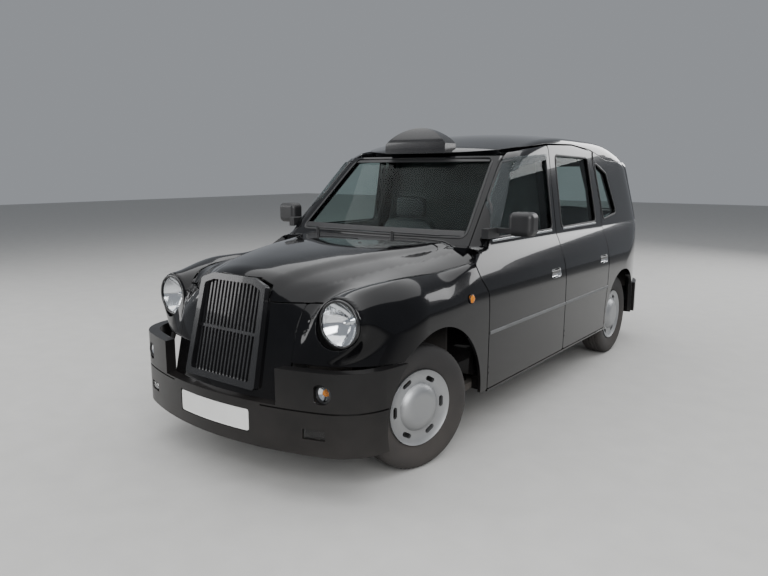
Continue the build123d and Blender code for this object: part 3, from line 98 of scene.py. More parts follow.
def cabin_depth(p):
    """Depth inside the cabin: side, tail, roof and windscreen depths, rounded where they meet.

    Side and tail share one surface: the fifth root of the summed fifth powers of the section's inset at a
    height and the plan's inset at a station, which leans forward above the waist."""
    x, y, z = np.abs(p[:, 0]), p[:, 1], p[:, 2]
    lean = .551 * (z - WAIST) * np.clip((z - WAIST) / .12 + .5, 0, 1)
    back = y + np.where(z > WAIST - .06, lean, 0)
    inset = np.interp(back, plan_y, plan_inset) + np.clip(back - 2.2, 0, 1) * 8
    width = np.clip(HALF_WIDTH - curve(z, side_z, side_x), 0, 1)
    side = HALF_WIDTH - x - (width ** 5 + inset ** 5) ** .2
    side = side / np.sqrt(1 + np.interp(back, plan_y, plan_slope, left=0) ** 2)
    top = curve(y, roof_y, roof_z) - curve(y, roof_y, roof_drop) * (x / .7) ** 2
    slope = (curve(y + .01, roof_y, roof_z) - curve(y - .01, roof_y, roof_z)) / .02
    roof = (top - z) / np.sqrt(1 + slope ** 2)
    screen = (y + 1.0238 - .080 * (x / .785) ** 2 - (z - WAIST) * 1.0837) * .678
    screen = screen + np.clip(WAIST - .005 - z, 0, 1) * 4
    return blend_min(blend_min(side, roof, .078), screen, .065)


def normals(p, depth):
    """Outward unit normals: the falling direction of the depth, by central differences."""
    step = np.eye(3) * .0015
    grad = np.stack([depth(p - s) - depth(p + s) for s in step], axis=1)
    return grad / np.linalg.norm(grad, axis=1, keepdims=True)


def cast(origin, direction, depth, reach=1.2):
    """Surface points: along each ray, the distance where the depth falls to nothing, found by halving."""
    low, high = np.zeros(len(origin)), np.full(len(origin), reach)
    for _ in range(24):
        mid = (low + high) / 2
        within = depth(origin + mid[:, None] * direction) > 0
        low, high = np.where(within, mid, low), np.where(within, high, mid)
    return origin + low[:, None] * direction


def inside(q, outline):
    """Signed distance from points to a closed outline in their plane, positive within it."""
    a = np.asarray(outline, float)
    b = np.roll(a, -1, axis=0)
    run = b - a
    rel = q[:, None, :] - a[None]
    t = np.clip((rel * run).sum(2) / (run * run).sum(1), 0, 1)
    near = np.sqrt(((rel - t[..., None] * run) ** 2).sum(2).min(1))
    crosses = (a[:, 1] > q[:, 1:2]) != (b[:, 1] > q[:, 1:2])
    at = a[:, 0] + (q[:, 1:2] - a[:, 1]) * run[:, 0] / np.where(run[:, 1] == 0, 1e-12, run[:, 1])
    odd = (crosses & (q[:, 0:1] < at)).sum(1) % 2 == 1
    return np.where(odd, near, -near)


def rounded(outline, radius):
    """The outline with each corner replaced by an arc of seven points that meets both edges."""
    o = np.asarray(outline, float)
    before, after = np.roll(o, 1, axis=0) - o, np.roll(o, -1, axis=0) - o
    lb, la = np.linalg.norm(before, axis=1), np.linalg.norm(after, axis=1)
    ub, ua = before / lb[:, None], after / la[:, None]
    half = np.arccos(np.clip((ub * ua).sum(1), -.9999, .9999)) / 2
    reach = np.minimum(radius / np.tan(half), .45 * np.minimum(lb, la))
    t = np.linspace(0, 1, 7)[None, :, None]
    start, end = (o + ub * reach[:, None])[:, None], (o + ua * reach[:, None])[:, None]
    return ((1 - t) ** 2 * start + 2 * t * (1 - t) * o[:, None] + t * t * end).reshape(-1, 2)


def placed(name, data):
    """A new object with its data, linked to the scene."""
    thing = bpy.data.objects.new(name, data)
    bpy.context.scene.collection.objects.link(thing)
    return thing


def solid(name, points, faces, loop_normals=None, materials=(), slots=None):
    """A mesh object from arrays of points and faces, smooth shaded, with its normals set at each corner."""
    mesh = bpy.data.meshes.new(name)
    mesh.from_pydata(np.asarray(points).tolist(), [], [f for part in faces for f in np.asarray(part).tolist()])
    mesh.polygons.foreach_set("use_smooth", np.ones(len(mesh.polygons), bool))
    for material in materials:
        mesh.materials.append(material)
    if slots is not None:
        mesh.polygons.foreach_set("material_index", np.asarray(slots, np.int32))
    if loop_normals is not None:
        mesh.normals_split_custom_set(np.concatenate(loop_normals).tolist())
    mesh.update()
    return placed(name, mesh)


def cut_sheet(u, v, ray, depth, keep, roll):
    """A sheet of the form: rays on a grid of (u, v) give its points, and its triangles are cut where the
    distance to the panel's edge falls to roll."""
    def place(a, b):
        """Points of the form on the rays of two grid values."""
        return cast(*ray(a, b), depth)

    uu, vv = [a.ravel() for a in np.meshgrid(u, v, indexing="ij")]
    points = place(uu, vv)
    s = keep(points) - roll
    nu, nv = len(u), len(v)
    i = (np.arange(nu - 1)[:, None] * nv + np.arange(nv - 1)).ravel()
    tris = np.concatenate([np.stack([i, i + nv, i + nv + 1], 1), np.stack([i, i + nv + 1, i + 1], 1)])
    count = (s[tris] > 0).sum(1)
    whole, part = tris[count == 3], tris[(count == 1) | (count == 2)]
    edges = np.sort(np.concatenate([part[:, [0, 1]], part[:, [1, 2]], part[:, [2, 0]]]), axis=1)
    edges = np.unique(edges[(s[edges[:, 0]] > 0) != (s[edges[:, 1]] > 0)], axis=0)
    a, b = edges[:, 0].copy(), edges[:, 1].copy()
    swap = s[a] <= 0
    a[swap], b[swap] = b[swap], a[swap]
    low, high = np.zeros(len(a)), np.ones(len(a))
    for _ in range(12):
        mid = (low + high) / 2
        at = place(uu[a] + (uu[b] - uu[a]) * mid, vv[a] + (vv[b] - vv[a]) * mid)
        kept = keep(at) - roll > 0
        low, high = np.where(kept, mid, low), np.where(kept, high, mid)
    cuts = place(uu[a] + (uu[b] - uu[a]) * low, vv[a] + (vv[b] - vv[a]) * low)
    key = edges[:, 0] * len(points) + edges[:, 1]

    def cut_at(m, n):
        """Index of the cut vertex on the edge between two grid vertices."""
        return len(points) + np.searchsorted(key, np.minimum(m, n) * len(points) + np.maximum(m, n))

    new = [whole]
    for want, alone in ((1, True), (2, False)):
        t = part[(s[part] > 0).sum(1) == want]
        turn = np.argmax((s[t] > 0) == alone, axis=1)[:, None]
        t = np.take_along_axis(t, (turn + np.arange(3)) % 3, axis=1)
        p0, p1, p2 = t.T
        c1, c2 = cut_at(p0, p1), cut_at(p0, p2)
        if alone:
            new.append(np.stack([p0, c1, c2], 1))
        else:
            new += [np.stack([c1, p1, p2], 1), np.stack([c1, p2, c2], 1)]
    tris = np.concatenate(new)
    points = np.concatenate([points, cuts])
    used, tris = np.unique(tris, return_inverse=True)
    return points[used], tris.reshape(-1, 3)


def finish(name, colour, roughness, metallic=0.0, grain=90.0, bump=0.05, fleck=0.25, depth=.0006, dust=0.0,
           **sockets):
    """A material whose colour and roughness vary by a slow noise and whose bump is a fine one, both on Object
    coordinates; dust gathers towards the ground."""
    material = bpy.data.materials.new(name)
    material.use_nodes = True
    nodes, links = material.node_tree.nodes, material.node_tree.links

    def fill(node, inputs):
        """Sets a node's inputs: a socket is linked and any other value is written in."""
        for key, value in inputs.items():
            if isinstance(value, bpy.types.NodeSocket):
                links.new(value, node.inputs[key])
            else:
                node.inputs[key].default_value = value

    def add(kind, inputs, output):
        """A new shader node with its inputs set; gives the named output."""
        node = nodes.new("ShaderNode" + kind)
        fill(node, inputs)
        return node.outputs[output]

    place = add("TexCoord", {}, "Object")
    slow = add("TexNoise", {"Scale": 5.5, "Detail": 5, "Vector": place}, "Fac")
    fine = add("TexNoise", {"Scale": grain, "Detail": 3, "Vector": place}, "Fac")
    tint = add("ValToRGB", {"Fac": slow}, "Color")
    low, high = tint.node.color_ramp.elements
    low.position, high.position = .3, .72
    low.color = [c * (1 - fleck) for c in colour] + [1]
    high.color = [min(1, c * (1 + fleck)) for c in colour] + [1]
    rough = add("MapRange", {"To Min": max(0, roughness * .82), "To Max": min(1, roughness * 1.2), "Value": slow},
                "Result")
    raised = add("Bump", {"Strength": bump, "Distance": depth, "Height": fine}, "Normal")
    if dust:
        height = add("SeparateXYZ", {"Vector": place}, "Z")
        near_ground = add("MapRange", {"From Min": .75, "From Max": .25, "To Max": dust, "Value": height}, "Result")
        patch = add("Math", {0: near_ground, 1: slow}, "Value")
        patch.node.operation = "MULTIPLY"
        tint = add("MixRGB", {"Fac": patch, "Color1": tint, "Color2": (.16, .135, .115, 1)}, "Color")
        rough = add("Math", {0: rough, 1: patch}, "Value")
    fill(nodes["Principled BSDF"], {"Metallic": metallic, "Base Color": tint, "Roughness": rough, "Normal": raised})
    fill(nodes["Principled BSDF"], {key.replace("_", " "): value for key, value in sockets.items()})
    return material


black_paint = finish("black_paint", (.0024, .0024, .0030), .14, grain=520, bump=.006, depth=.0003, dust=.08,
                     Coat_Weight=1.0, Coat_Roughness=.010, Coat_IOR=1.28, Specular_IOR_Level=.10)
door_trim = finish("door_trim_vinyl", (.050, .052, .056), .62, grain=900, bump=.35, depth=.0005)


def settle(piece, body, node=None):
    """Gives a piece its body, and hides the built node whose place it takes."""
    if node:
        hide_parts(node)
    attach(piece, body)
    return piece


def panel(name, u, v, ray, depth, keep, thick, body, node=None, roll=.0025, sign=1,
          materials=(black_paint, door_trim)):
    """A pressed panel: the cut sheet, a rolled edge (a quarter circle, then the wall) and the inner skin, which
    is the same sheet moved inwards along its normals."""
    points, tris = cut_sheet(u, v, ray, depth, keep, roll)
    out = normals(points, depth)
    face = np.cross(points[tris[:, 1]] - points[tris[:, 0]], points[tris[:, 2]] - points[tris[:, 0]])
    flip = (face * out[tris[:, 0]]).sum(1) < 0
    tris[flip] = tris[flip][:, ::-1]
    n = len(points)
    edges = np.concatenate([tris[:, [0, 1]], tris[:, [1, 2]], tris[:, [2, 0]]])
    key = edges[:, 0] * n + edges[:, 1]
    rim = edges[~np.isin(key, edges[:, 1] * n + edges[:, 0])]
    away = np.zeros((n, 3))
    along = np.cross(points[rim[:, 1]] - points[rim[:, 0]], out[rim[:, 0]])
    along /= np.linalg.norm(along, axis=1, keepdims=True) + 1e-12
    np.add.at(away, rim[:, 0], along)
    np.add.at(away, rim[:, 1], along)
    rim_points = np.unique(rim)
    w = away[rim_points]
    w -= (w * out[rim_points]).sum(1, keepdims=True) * out[rim_points]
    w /= np.linalg.norm(w, axis=1, keepdims=True) + 1e-12
    order = np.full(n, -1)
    order[rim_points] = np.arange(len(rim_points))
    rows = [(math.sin(math.radians(t)) * roll, (1 - math.cos(math.radians(t))) * roll, t) for t in (30, 60, 90)]
    rows.append((roll, thick, 90))
    base, on = points[rim_points], out[rim_points]
    all_points, shade = [points], [out]
    for go, down, turn in rows:
        all_points.append(base + w * go - on * down)
        shade.append(on * math.cos(math.radians(turn)) + w * math.sin(math.radians(turn)))
    all_points.append(points - out * thick)
    shade.append(-out)
    starts = n + np.arange(len(rows)) * len(rim_points)
    ring = [rim] + [start + order[rim] for start in starts]
    shade = np.concatenate(shade)
    quads, quad_normals = [], []
    for near, far in zip(ring[:-1], ring[1:]):
        quad = np.stack([near[:, 1], near[:, 0], far[:, 0], far[:, 1]], 1)
        quads.append(quad)
        quad_normals.append(shade[quad].reshape(-1, 3))
    inner = starts[-1] + len(rim_points)
    quad = np.stack([ring[-1][:, 1], ring[-1][:, 0], rim[:, 0] + inner, rim[:, 1] + inner], 1)
    quads.append(quad)
    quad_normals.append(np.repeat(-out[rim[:, 0]], 4, axis=0))
    back = tris[:, ::-1] + inner
    everything = np.concatenate(all_points)
    loops = [shade[tris].reshape(-1, 3)] + quad_normals + [shade[back].reshape(-1, 3)]
    faces = [tris] + quads + [back]
    if sign < 0:
        everything = everything * (-1, 1, 1)
        loops = [(part.reshape(len(f), -1, 3)[:, ::-1] * (-1, 1, 1)).reshape(-1, 3) for part, f in zip(loops, faces)]
        faces = [f[:, ::-1] for f in faces]
    slots = np.concatenate([np.zeros(len(tris) + sum(len(q) for q in quads)), np.ones(len(back))])
    slots = slots if len(materials) > 1 else None
    return settle(solid(name, everything, faces, loops, materials, slots), body, node)


def rays(rule):
    """A family of rays: for each pair of values the rule gives the places of the feet and the directions."""
    def family(a, b):
        """Feet and directions of the rays, one row for each pair of values."""
        return [np.stack([part + 0 * (a + b) for part in triple], 1) for triple in rule(a, b)]
    return family


def least(*distances):
    """The smallest of several distances at each point."""
    return np.min(np.broadcast_arrays(*distances), axis=0)


# -------- Roof
# One crowned steel pressing from the windscreen header to the tail, rolled down at both cornices. Its rays fan
# out in the cross-section from a line inside the roof.
above_cornice = ((-1.2, 1.650), (-.47, 1.650), (-.42, 1.668), (-.20, 1.706), (.115, 1.739), (.56, 1.747),
                 (.90, 1.717), (1.25, 1.640), (2.4, 1.600), (2.4, 2.1), (-1.2, 2.1))
cornice_ray = rays(lambda angle, y: ((0, y, 1.25), (np.sin(angle), 0, np.cos(angle))))


def roof_edge(p):
    """Distance inside the roof's seam, drawn in side view."""
    return inside(p[:, 1:], above_cornice) - .001


panel("roof_skin", np.linspace(-1.15, 1.15, 90), np.linspace(-.75, 2.0, 120), cornice_ray, cabin_depth, roof_edge,
      .030, "cab_body", "roof")

# -------- Doors
# Steel doors whose frames run up round the glass; the front pair is cut to the wing and screen pillar. Their rays
# run level outwards.
DOOR_CORNER, WINDOW_CORNER = .02, .035
front_door = rounded(((-1.000, .305), (-1.000, .880), (-1.060, .960), (-1.083, 1.043), (-.990, 1.100), (-.945, 1.150),
                      (-.480, 1.640), (-.420, 1.662), (-.200, 1.700), (.115, 1.733), (.115, .305)), DOOR_CORNER)
rear_door = rounded(((.115, .305), (.115, 1.733), (.560, 1.741), (.890, 1.710), (.960, 1.560), (1.026, 1.284),
                     (1.020, 1.120), (.985, .650), (.950, .450), (.950, .305)), DOOR_CORNER)
front_window = rounded(((-.850, 1.165), (-.520, 1.590), (-.339, 1.632), (.055, 1.655), (.055, 1.160)), WINDOW_CORNER)
rear_window = rounded(((.215, 1.160), (.215, 1.662), (.830, 1.650), (.900, 1.164)), WINDOW_CORNER)
HALF_GAP = .0035
HANDLES = (("front_door", -.047), ("rear_door", .888))
HANDLE_Z, HANDLE_HALF, HANDLE_RISE = .872, .075, .029
REAR_AXLE_Y, FRONT_AXLE_Y, HUB_Z = 1.376, -1.510, .336
REAR_ARCH, FRONT_ARCH = .400, .430
side_ray = rays(lambda y, z: ((.40, y, z), (1, 0, 0)))


def box_outline(low_a, high_a, low_b, high_b, radius):
    """A rounded rectangle as an outline."""
    return rounded(((low_a, low_b), (high_a, low_b), (high_a, high_b), (low_a, high_b)), radius)


def pillar_x(z):
    """Distance of the seam between screen pillar and door from the centre line."""
    return .697 - (z - 1.143) * (.697 - .605) / (1.665 - 1.143)


def handle_hole(y):
    """The rounded opening of a door handle centred at y."""
    return box_outline(y - HANDLE_HALF, y + HANDLE_HALF, HANDLE_Z - HANDLE_RISE, HANDLE_Z + HANDLE_RISE, .018)


def beyond_arch(q, axle_y, radius):
    """Distance outside a round wheel arch in side view."""
    return np.hypot(q[:, 0] - axle_y, q[:, 1] - HUB_Z) - radius


def front_door_edge(p):
    """Distance inside the front door: its side-view outline, the pillar seam, and outside its window and handle."""
    q = p[:, 1:]
    return least(np.minimum(inside(q, front_door), p[:, 0] - pillar_x(p[:, 2])) - HALF_GAP, -inside(q, front_window),
                 -inside(q, handle_hole(HANDLES[0][1])))


def rear_door_edge(p):
    """Distance inside the rear door: its side-view outline, outside its window, handle and the wheel arch."""
    q = p[:, 1:]
    return least(inside(q, rear_door) - HALF_GAP, -inside(q, rear_window), -inside(q, handle_hole(HANDLES[1][1])),
                 beyond_arch(q, REAR_AXLE_Y, REAR_ARCH))


for side, sign in SIDES:
    panel(f"front_door_skin_{side}", np.linspace(-1.10, .13, 76), np.linspace(.29, 1.76, 92), side_ray, cabin_depth,
          front_door_edge, .040, f"front_door_{side}", f"front_door_{side}", sign=sign)
    panel(f"rear_door_skin_{side}", np.linspace(.10, 1.06, 62), np.linspace(.29, 1.77, 92), side_ray, cabin_depth,
          rear_door_edge, .040, f"rear_door_{side}", f"rear_door_{side}", sign=sign)

# -------- Side frames
# Sills, posts, screen pillars and the quarter panels that turn in round plan to the tail. The rays of quarters
# and pillars run level and fan out in plan, each family from an upright line inside its panel.
quarter_window = rounded(((.970, 1.625), (1.215, 1.533), (1.393, 1.207), (1.068, 1.171)), WINDOW_CORNER)
screen_hole = rounded(((-.655, 1.165), (.655, 1.165), (.560, 1.640), (-.560, 1.640)), WINDOW_CORNER)
tail_lamp_hole = box_outline(.558, .692, .718, 1.062, .02)
QUARTER_FROM, SILL_Z = .611, .292
quarter_ray = rays(lambda angle, z: ((.30, 1.45, z), (np.cos(angle), np.sin(angle), 0)))
pillar_ray = rays(lambda angle, z: ((.30, -.20, z), (np.cos(angle), np.sin(angle), 0)))


def quarter_edge(p):
    """Distance inside the quarter panel: behind the rear door, under the roof, outside window, arch and lamp."""
    q = p[:, 1:]
    lamp = np.where(p[:, 1] > 1.7, -inside(p[:, [0, 2]], tail_lamp_hole), 1)
    return least(-inside(q, above_cornice) - .001, -inside(q, rear_door) - HALF_GAP, -inside(q, quarter_window),
                 beyond_arch(q, REAR_AXLE_Y, REAR_ARCH), p[:, 0] - QUARTER_FROM, p[:, 2] - SILL_Z, lamp)


def pillar_edge(p):
    """Distance inside the screen pillar: between the windscreen's opening and the door's seam."""
    return least(pillar_x(p[:, 2]) - p[:, 0], -inside(p[:, [0, 2]], screen_hole), p[:, 2] - 1.122, 1.649 - p[:, 2])


for name, u, v, ray, edge in (
        ("quarter_skin", np.linspace(-50, 72, 98), np.linspace(.28, 1.76, 88), quarter_ray, quarter_edge),
        ("pillar_skin", np.linspace(-90, -20, 60), np.linspace(1.11, 1.66, 70), pillar_ray, pillar_edge)):
    for side, sign in SIDES:
        panel(f"{name}_{side}", np.radians(u), v, ray, cabin_depth, edge, .030, "cab_body", sign=sign)

# The inner frames keep the built form; where it would share the outer skins' surface it is drawn in by 7 mm.
DRAWN_IN = .007
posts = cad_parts["side_frames"].copy()
posts.data = posts.data.copy()
posts.name = "inner_frames"
bpy.context.scene.collection.objects.link(posts)
posts.parent = None
at = np.empty(len(posts.data.vertices) * 3)
posts.data.vertices.foreach_get("co", at)
at = at.reshape(-1, 3)
shallow = (cabin_depth(at) < .010) & ((at[:, 1] > .17) | (at[:, 2] > 1.09) | (at[:, 2] < .306))
at[shallow, 0] -= np.sign(at[shallow, 0]) * DRAWN_IN
at[shallow & (at[:, 1] > 1.8), 1] -= DRAWN_IN
posts.data.vertices.foreach_set("co", at.ravel())
posts.data.materials.clear()
posts.data.materials.append(black_paint)
settle(posts, "cab_body", "side_frames")

# -------- Front end
# Bonnet, wings, scuttle and nose: a crowned bonnet between rounded wings, closed by a leaning round nose.
front_y = (-2.33, -2.006, -1.88, -1.726, -1.50, -1.13, -.95)
front_crown = (.975, 1.064, 1.090, 1.112, 1.134, 1.148, 1.152)
front_valley_x = (.430, .497, .567, .622, .675, .760, .800)
front_valley_z = (.880, .926, .958, .980, 1.004, 1.034, 1.052)
front_crest_x = (.640, .680, .700, .722, .745, .790, .815)
front_crest_z = (.965, 1.004, 1.016, 1.022, 1.026, 1.036, 1.050)
front_power = (2.0, 2.1, 2.2, 2.4, 2.8, 4.2, 6.5)
LAMP = np.array((.634, -2.030, .848))
lamp_way = np.array((math.sin(math.radians(3)), -math.cos(math.radians(3)), 0))


def front_top(x, y):
    """Height of the front end: a bonnet that falls by a power of the distance from the middle to its valley,
    with a raised centre that widens to the screen, then a wing that rises by a parabola to its crest."""
    crown, power = curve(y, front_y, front_crown), curve(y, front_y, front_power)
    vx, vz = curve(y, front_y, front_valley_x), curve(y, front_y, front_valley_z)
    cx, cz = curve(y, front_y, front_crest_x), curve(y, front_y, front_crest_z)
    bonnet = crown - (crown - vz) * np.clip(x / vx, 0, 1) ** power
    middle = .235 + .33 * np.clip((y + 2.1) / 1.1, 0, 1)
    edge = np.clip((x - middle) / .09 + .5, 0, 1)
    bonnet = bonnet - .011 * edge * edge * (3 - 2 * edge) * np.clip((vx - x) / .12, 0, 1) + .002
    wing = cz + .013 - (cz + .013 - vz) * np.clip((cx - x) / (cx - vx), 0, 1) ** 2 - .10 * np.clip(x - cx, 0, 1)
    return np.where(x < vx, bonnet, wing)


def front_depth(p):
    """Depth inside the front end: below its top, and inside a plan of two tangent arcs that leans back with
    height, joined by a soft hollow to a short tube round each lamp; it ends as the cabin's own side."""
    x, y, z = np.abs(p[:, 0]), p[:, 1], p[:, 2]
    slope = (front_top(x + .004, y) - front_top(np.abs(x - .004), y)) / .008
    top = (front_top(x, y) - z) / np.sqrt(1 + np.clip(slope, -2, 2) ** 2)
    at = y - (z - .503) * .2401
    corner = (x > .3323 * (-.45 - at)) & (at < -.45)
    plan = 1.776 - np.hypot(x, at + .45)
    arc = np.where(at < -1.7017, .457 - np.hypot(np.clip(x - .4159, 0, 9), at + 1.7017), HALF_WIDTH - x)
    plan = np.where(corner | (at > -1.0), arc, plan)
    across = np.clip((x - .25) / .35, 0, 1)
    nose = blend_min(top, plan, .10 + .13 * across * across * (3 - 2 * across))
    ahead = (x - LAMP[0]) * lamp_way[0] + (y - LAMP[1]) * lamp_way[1]
    wide = np.sqrt(np.clip((x - LAMP[0]) ** 2 + (y - LAMP[1]) ** 2 + (z - LAMP[2]) ** 2 - ahead ** 2, 0, 9))
    nacelle = blend_min(.1275 - wide, -.004 - ahead, .016)
    nose = -blend_min(-nose, -nacelle, .075)
    side = curve(z, side_z, side_x) - x
    back = np.clip((y + 1.42) / .34, 0, 1)
    back = back * back * (3 - 2 * back)
    return nose * (1 - back) + blend_min(top, side, .035) * back


LAMP_HOLE, NOSE_TOP, PANEL = .121, .922, .018
bonnet_half = ((.43, -2.45), (.497, -2.006), (.567, -1.88), (.622, -1.726), (.675, -1.50), (.760, -1.13),
               (.79, -1.04), (.70, -.945), (.55, -.985), (.35, -1.018))
bonnet_plan = [(-x, y) for x, y in bonnet_half] + [(0, -1.036)] + list(bonnet_half[::-1])
grille_front = ((-.264, .503), (.264, .503), (.243, 1.000), (.150, 1.032), (-.150, 1.032), (-.243, 1.000))


def beside_door(p):
    """Distance clear of the front door for the panels that run in above its leading corner."""
    return np.where(np.abs(p[:, 0]) > .78, -inside(p[:, 1:], front_door) - HALF_GAP, 1)


def bonnet_edge(p):
    """Distance inside the bonnet: its plan, above the nose panel, and clear of the grille and the doors."""
    grille = np.where(p[:, 1] < -1.9, -inside(p[:, [0, 2]], grille_front) + .005, 1)
    return least(inside(p[:, :2], bonnet_plan) - HALF_GAP, p[:, 2] - .926, grille, beside_door(p))


def wing_edge(p):
    """Distance inside the wing: beside the bonnet, before the door, outside the arch, over bumper and lamp."""
    away = p - LAMP
    away = np.linalg.norm(away - (away @ lamp_way)[:, None] * lamp_way, axis=1)
    return least(np.maximum(-inside(p[:, :2], bonnet_plan) - HALF_GAP, NOSE_TOP - p[:, 2]),
                 -inside(p[:, 1:], front_door) - HALF_GAP, p[:, 0] - .4252,
                 np.where(p[:, 1] > -1.0, -1, p[:, 2] - .304), beyond_arch(p[:, 1:], FRONT_AXLE_Y, FRONT_ARCH),
                 np.where(p[:, 1] < FRONT_AXLE_Y, p[:, 2] - .652, 1), np.where(p[:, 1] < -1.8, away - LAMP_HOLE, 1))


def nose_edge(p):
    """Distance inside the nose panel, between the lamps, under the bonnet and round the grille."""
    x, z = np.abs(p[:, 0]), p[:, 2]
    return least(.4248 - x, NOSE_TOP - z, z - .462, -inside(p[:, [0, 2]], grille_front) + .018,
                 np.hypot(x - LAMP[0], z - LAMP[2]) - LAMP_HOLE)


def scuttle_edge(p):
    """Distance inside the scuttle: behind the bonnet, between the doors, up to the foot of the glass."""
    return least(-inside(p[:, :2], bonnet_plan) - HALF_GAP, -.905 - p[:, 1], p[:, 1] + 1.06, beside_door(p))


# Rays fan out in side view from a cross line under the bonnet, run in all directions from a point inside the
# wing, straight behind the lamp, and run level forwards to the nose and upright to the scuttle.
bonnet_ray = rays(lambda x, angle: ((x, -1.35, .60), (0, -np.sin(angle), np.cos(angle))))
wing_ray = rays(lambda turn, rise: ((.60, -1.45, .66), (np.cos(rise) * np.cos(turn), np.cos(rise) * np.sin(turn),
                                                        np.sin(rise))))
level_ray = rays(lambda x, z: ((x, -1.2, z), (0, -1, 0)))
upward_ray = rays(lambda x, y: ((x, y, .7), (0, 0, 1)))
panel("bonnet_skin", np.linspace(-.80, .80, 110), np.radians(np.linspace(-42, 76, 100)), bonnet_ray, front_depth,
      bonnet_edge, .020, "bonnet", "bonnet")
for side, sign in SIDES:
    panel(f"front_wing_skin_{side}", np.radians(np.linspace(-112, 76, 150)), np.radians(np.linspace(-44, 84, 112)),
          wing_ray, front_depth, wing_edge, PANEL, "cab_body", "front_wings" if sign > 0 else None, roll=.0018,
          sign=sign)
panel("nose_skin", np.linspace(-.48, .48, 110), np.linspace(.45, .93, 60), level_ray, front_depth, nose_edge, PANEL,
      "cab_body", "nose_panel", roll=.0018)
panel("scuttle_skin", np.linspace(-.80, .80, 130), np.linspace(-1.07, -.89, 22), upward_ray, front_depth,
      scuttle_edge, .020, "cab_body", "scuttle")

# -------- Tail
# The upright tail panel with its window, and the boot lid hung on two pins below the waist. The rays run level
# backwards.
tail_window = rounded(((-.590, 1.195), (.590, 1.195), (.520, 1.600), (-.520, 1.600)), WINDOW_CORNER)
boot_outline = rounded(((-.520, .600), (.520, .600), (.500, 1.106), (-.500, 1.106)), .03)
TAIL_HALF_WIDTH = .609
tail_ray = rays(lambda x, z: ((x, 1.5, z), (0, 1, 0)))


def tail_edge(p):
    """Distance inside the tail panel: under the roof, round the window, the lid and the lamps."""
    q = p[:, [0, 2]]
    return least(TAIL_HALF_WIDTH - np.abs(p[:, 0]), -inside(p[:, 1:], above_cornice) - .001, p[:, 2] - SILL_Z,
                 -inside(q, tail_window), -inside(q, boot_outline) - HALF_GAP, -inside(np.abs(q), tail_lamp_hole))


def lid_edge(p):
    """Distance inside the boot lid, drawn from behind."""
    return inside(p[:, [0, 2]], boot_outline) - HALF_GAP


panel("tail_skin", np.linspace(-.62, .62, 84), np.linspace(.28, 1.66, 94), tail_ray, cabin_depth, tail_edge, .030,
      "cab_body", "rear_panel")
panel("boot_lid_skin", np.linspace(-.53, .53, 80), np.linspace(.59, 1.13, 45), tail_ray, cabin_depth, lid_edge, .030,
      "boot_lid", "boot_lid")

# -------- Carried-over pieces
# Finishes for the pieces whose built shape is kept as it is.
gloss_black = finish("gloss_black_plastic", (.010, .010, .011), .22, grain=400, bump=.03, Coat_Weight=.4)
satin_black = finish("satin_black_plastic", (.016, .016, .017), .42, grain=900, bump=.25, depth=.0004)
grained = finish("grained_grey_plastic", (.060, .061, .065), .6, grain=1100, bump=.4, depth=.0004)
chassis = finish("chassis_paint", (.020, .020, .021), .7, grain=200, bump=.3, fleck=.4, dust=.8)
glass = finish("window_glass", (.62, .70, .68), .012, grain=3, bump=.01, fleck=.02, Transmission_Weight=1.0, IOR=1.1,
               Specular_IOR_Level=.9)
iron = finish("engine_iron", (.10, .10, .10), .6, metallic=.6, grain=180, bump=.5)
steel = finish("dull_steel", (.30, .29, .28), .45, metallic=.9, grain=300, bump=.2, fleck=.3)
silver = finish("wheel_silver", (.40, .41, .42), .33, metallic=.9, grain=500, bump=.04, fleck=.10, dust=.3)
bumper_paint = finish("bumper_paint", (.0045, .0045, .0050), .34, grain=520, bump=.03, depth=.0003, dust=.15,
                      Specular_IOR_Level=.22, Coat_Weight=.25, Coat_IOR=1.4)
glazed = "fixed_glass front_glass_left front_glass_right rear_glass_left rear_glass_right"
running_gear = "floor_pan chassis_frame front_suspension rear_axle fuel_tank knuckle_left knuckle_right track_rod"
wheels = "wheel_front_left wheel_front_right wheel_rear_left wheel_rear_right"
for material, names in ((gloss_black, "grille roof_sign"), (bumper_paint, "bumpers"), (glass, glazed),
                        (satin_black, "wipers mirror_left mirror_right steering_wheel"), (steel, "exhaust"),
                        (grained, "dashboard partition"), (iron, "engine_block"), (chassis, running_gear),
                        (silver, wheels)):
    for name in names.split():
        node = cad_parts[name]
        node.data.materials.clear()
        node.data.materials.append(material)

# -------- Window seals
# Black rubber weather strips pressed round every window, and the bright strip each door glass rises through.


def woven(name, rings, material, slot, body="cab_body", node=None, loop=False, sign=1, crease=38):
    """A closed surface through rings of points: quads join each ring to the next, and the last ring meets the
    first, or a fan to its middle closes each end; it is turned outwards by its signed volume."""
    rings = np.asarray(rings, float) * (sign, 1, 1)
    n, m = rings.shape[:2]
    points = rings.reshape(-1, 3)
    j, i = np.arange(m), np.arange(n if loop else n - 1)[:, None]
    quads = np.stack([(i * m + j).ravel(), (i * m + (j + 1) % m).ravel(),
                      ((i + 1) % n * m + (j + 1) % m).ravel(), ((i + 1) % n * m + j).ravel()], 1)
    fans = np.zeros((0, 3), int)
    if not loop:
        points = np.concatenate([points, rings[:1].mean(1), rings[-1:].mean(1)])
        fans = np.concatenate([np.stack([(j + 1) % m, j, np.full(m, n * m)], 1),
                               np.stack([(n - 1) * m + j, (n - 1) * m + (j + 1) % m, np.full(m, n * m + 1)], 1)])
    tris = np.concatenate([quads[:, :3], quads[:, [0, 2, 3]], fans])
    if (points[tris[:, 0]] * np.cross(points[tris[:, 1]], points[tris[:, 2]])).sum() < 0:
        quads, fans = quads[:, ::-1], fans[:, ::-1]
    piece = solid(name, points, [quads, fans], materials=(material,))
    piece.data.set_sharp_from_angle(angle=math.radians(crease))
    return settle(piece, body, node)


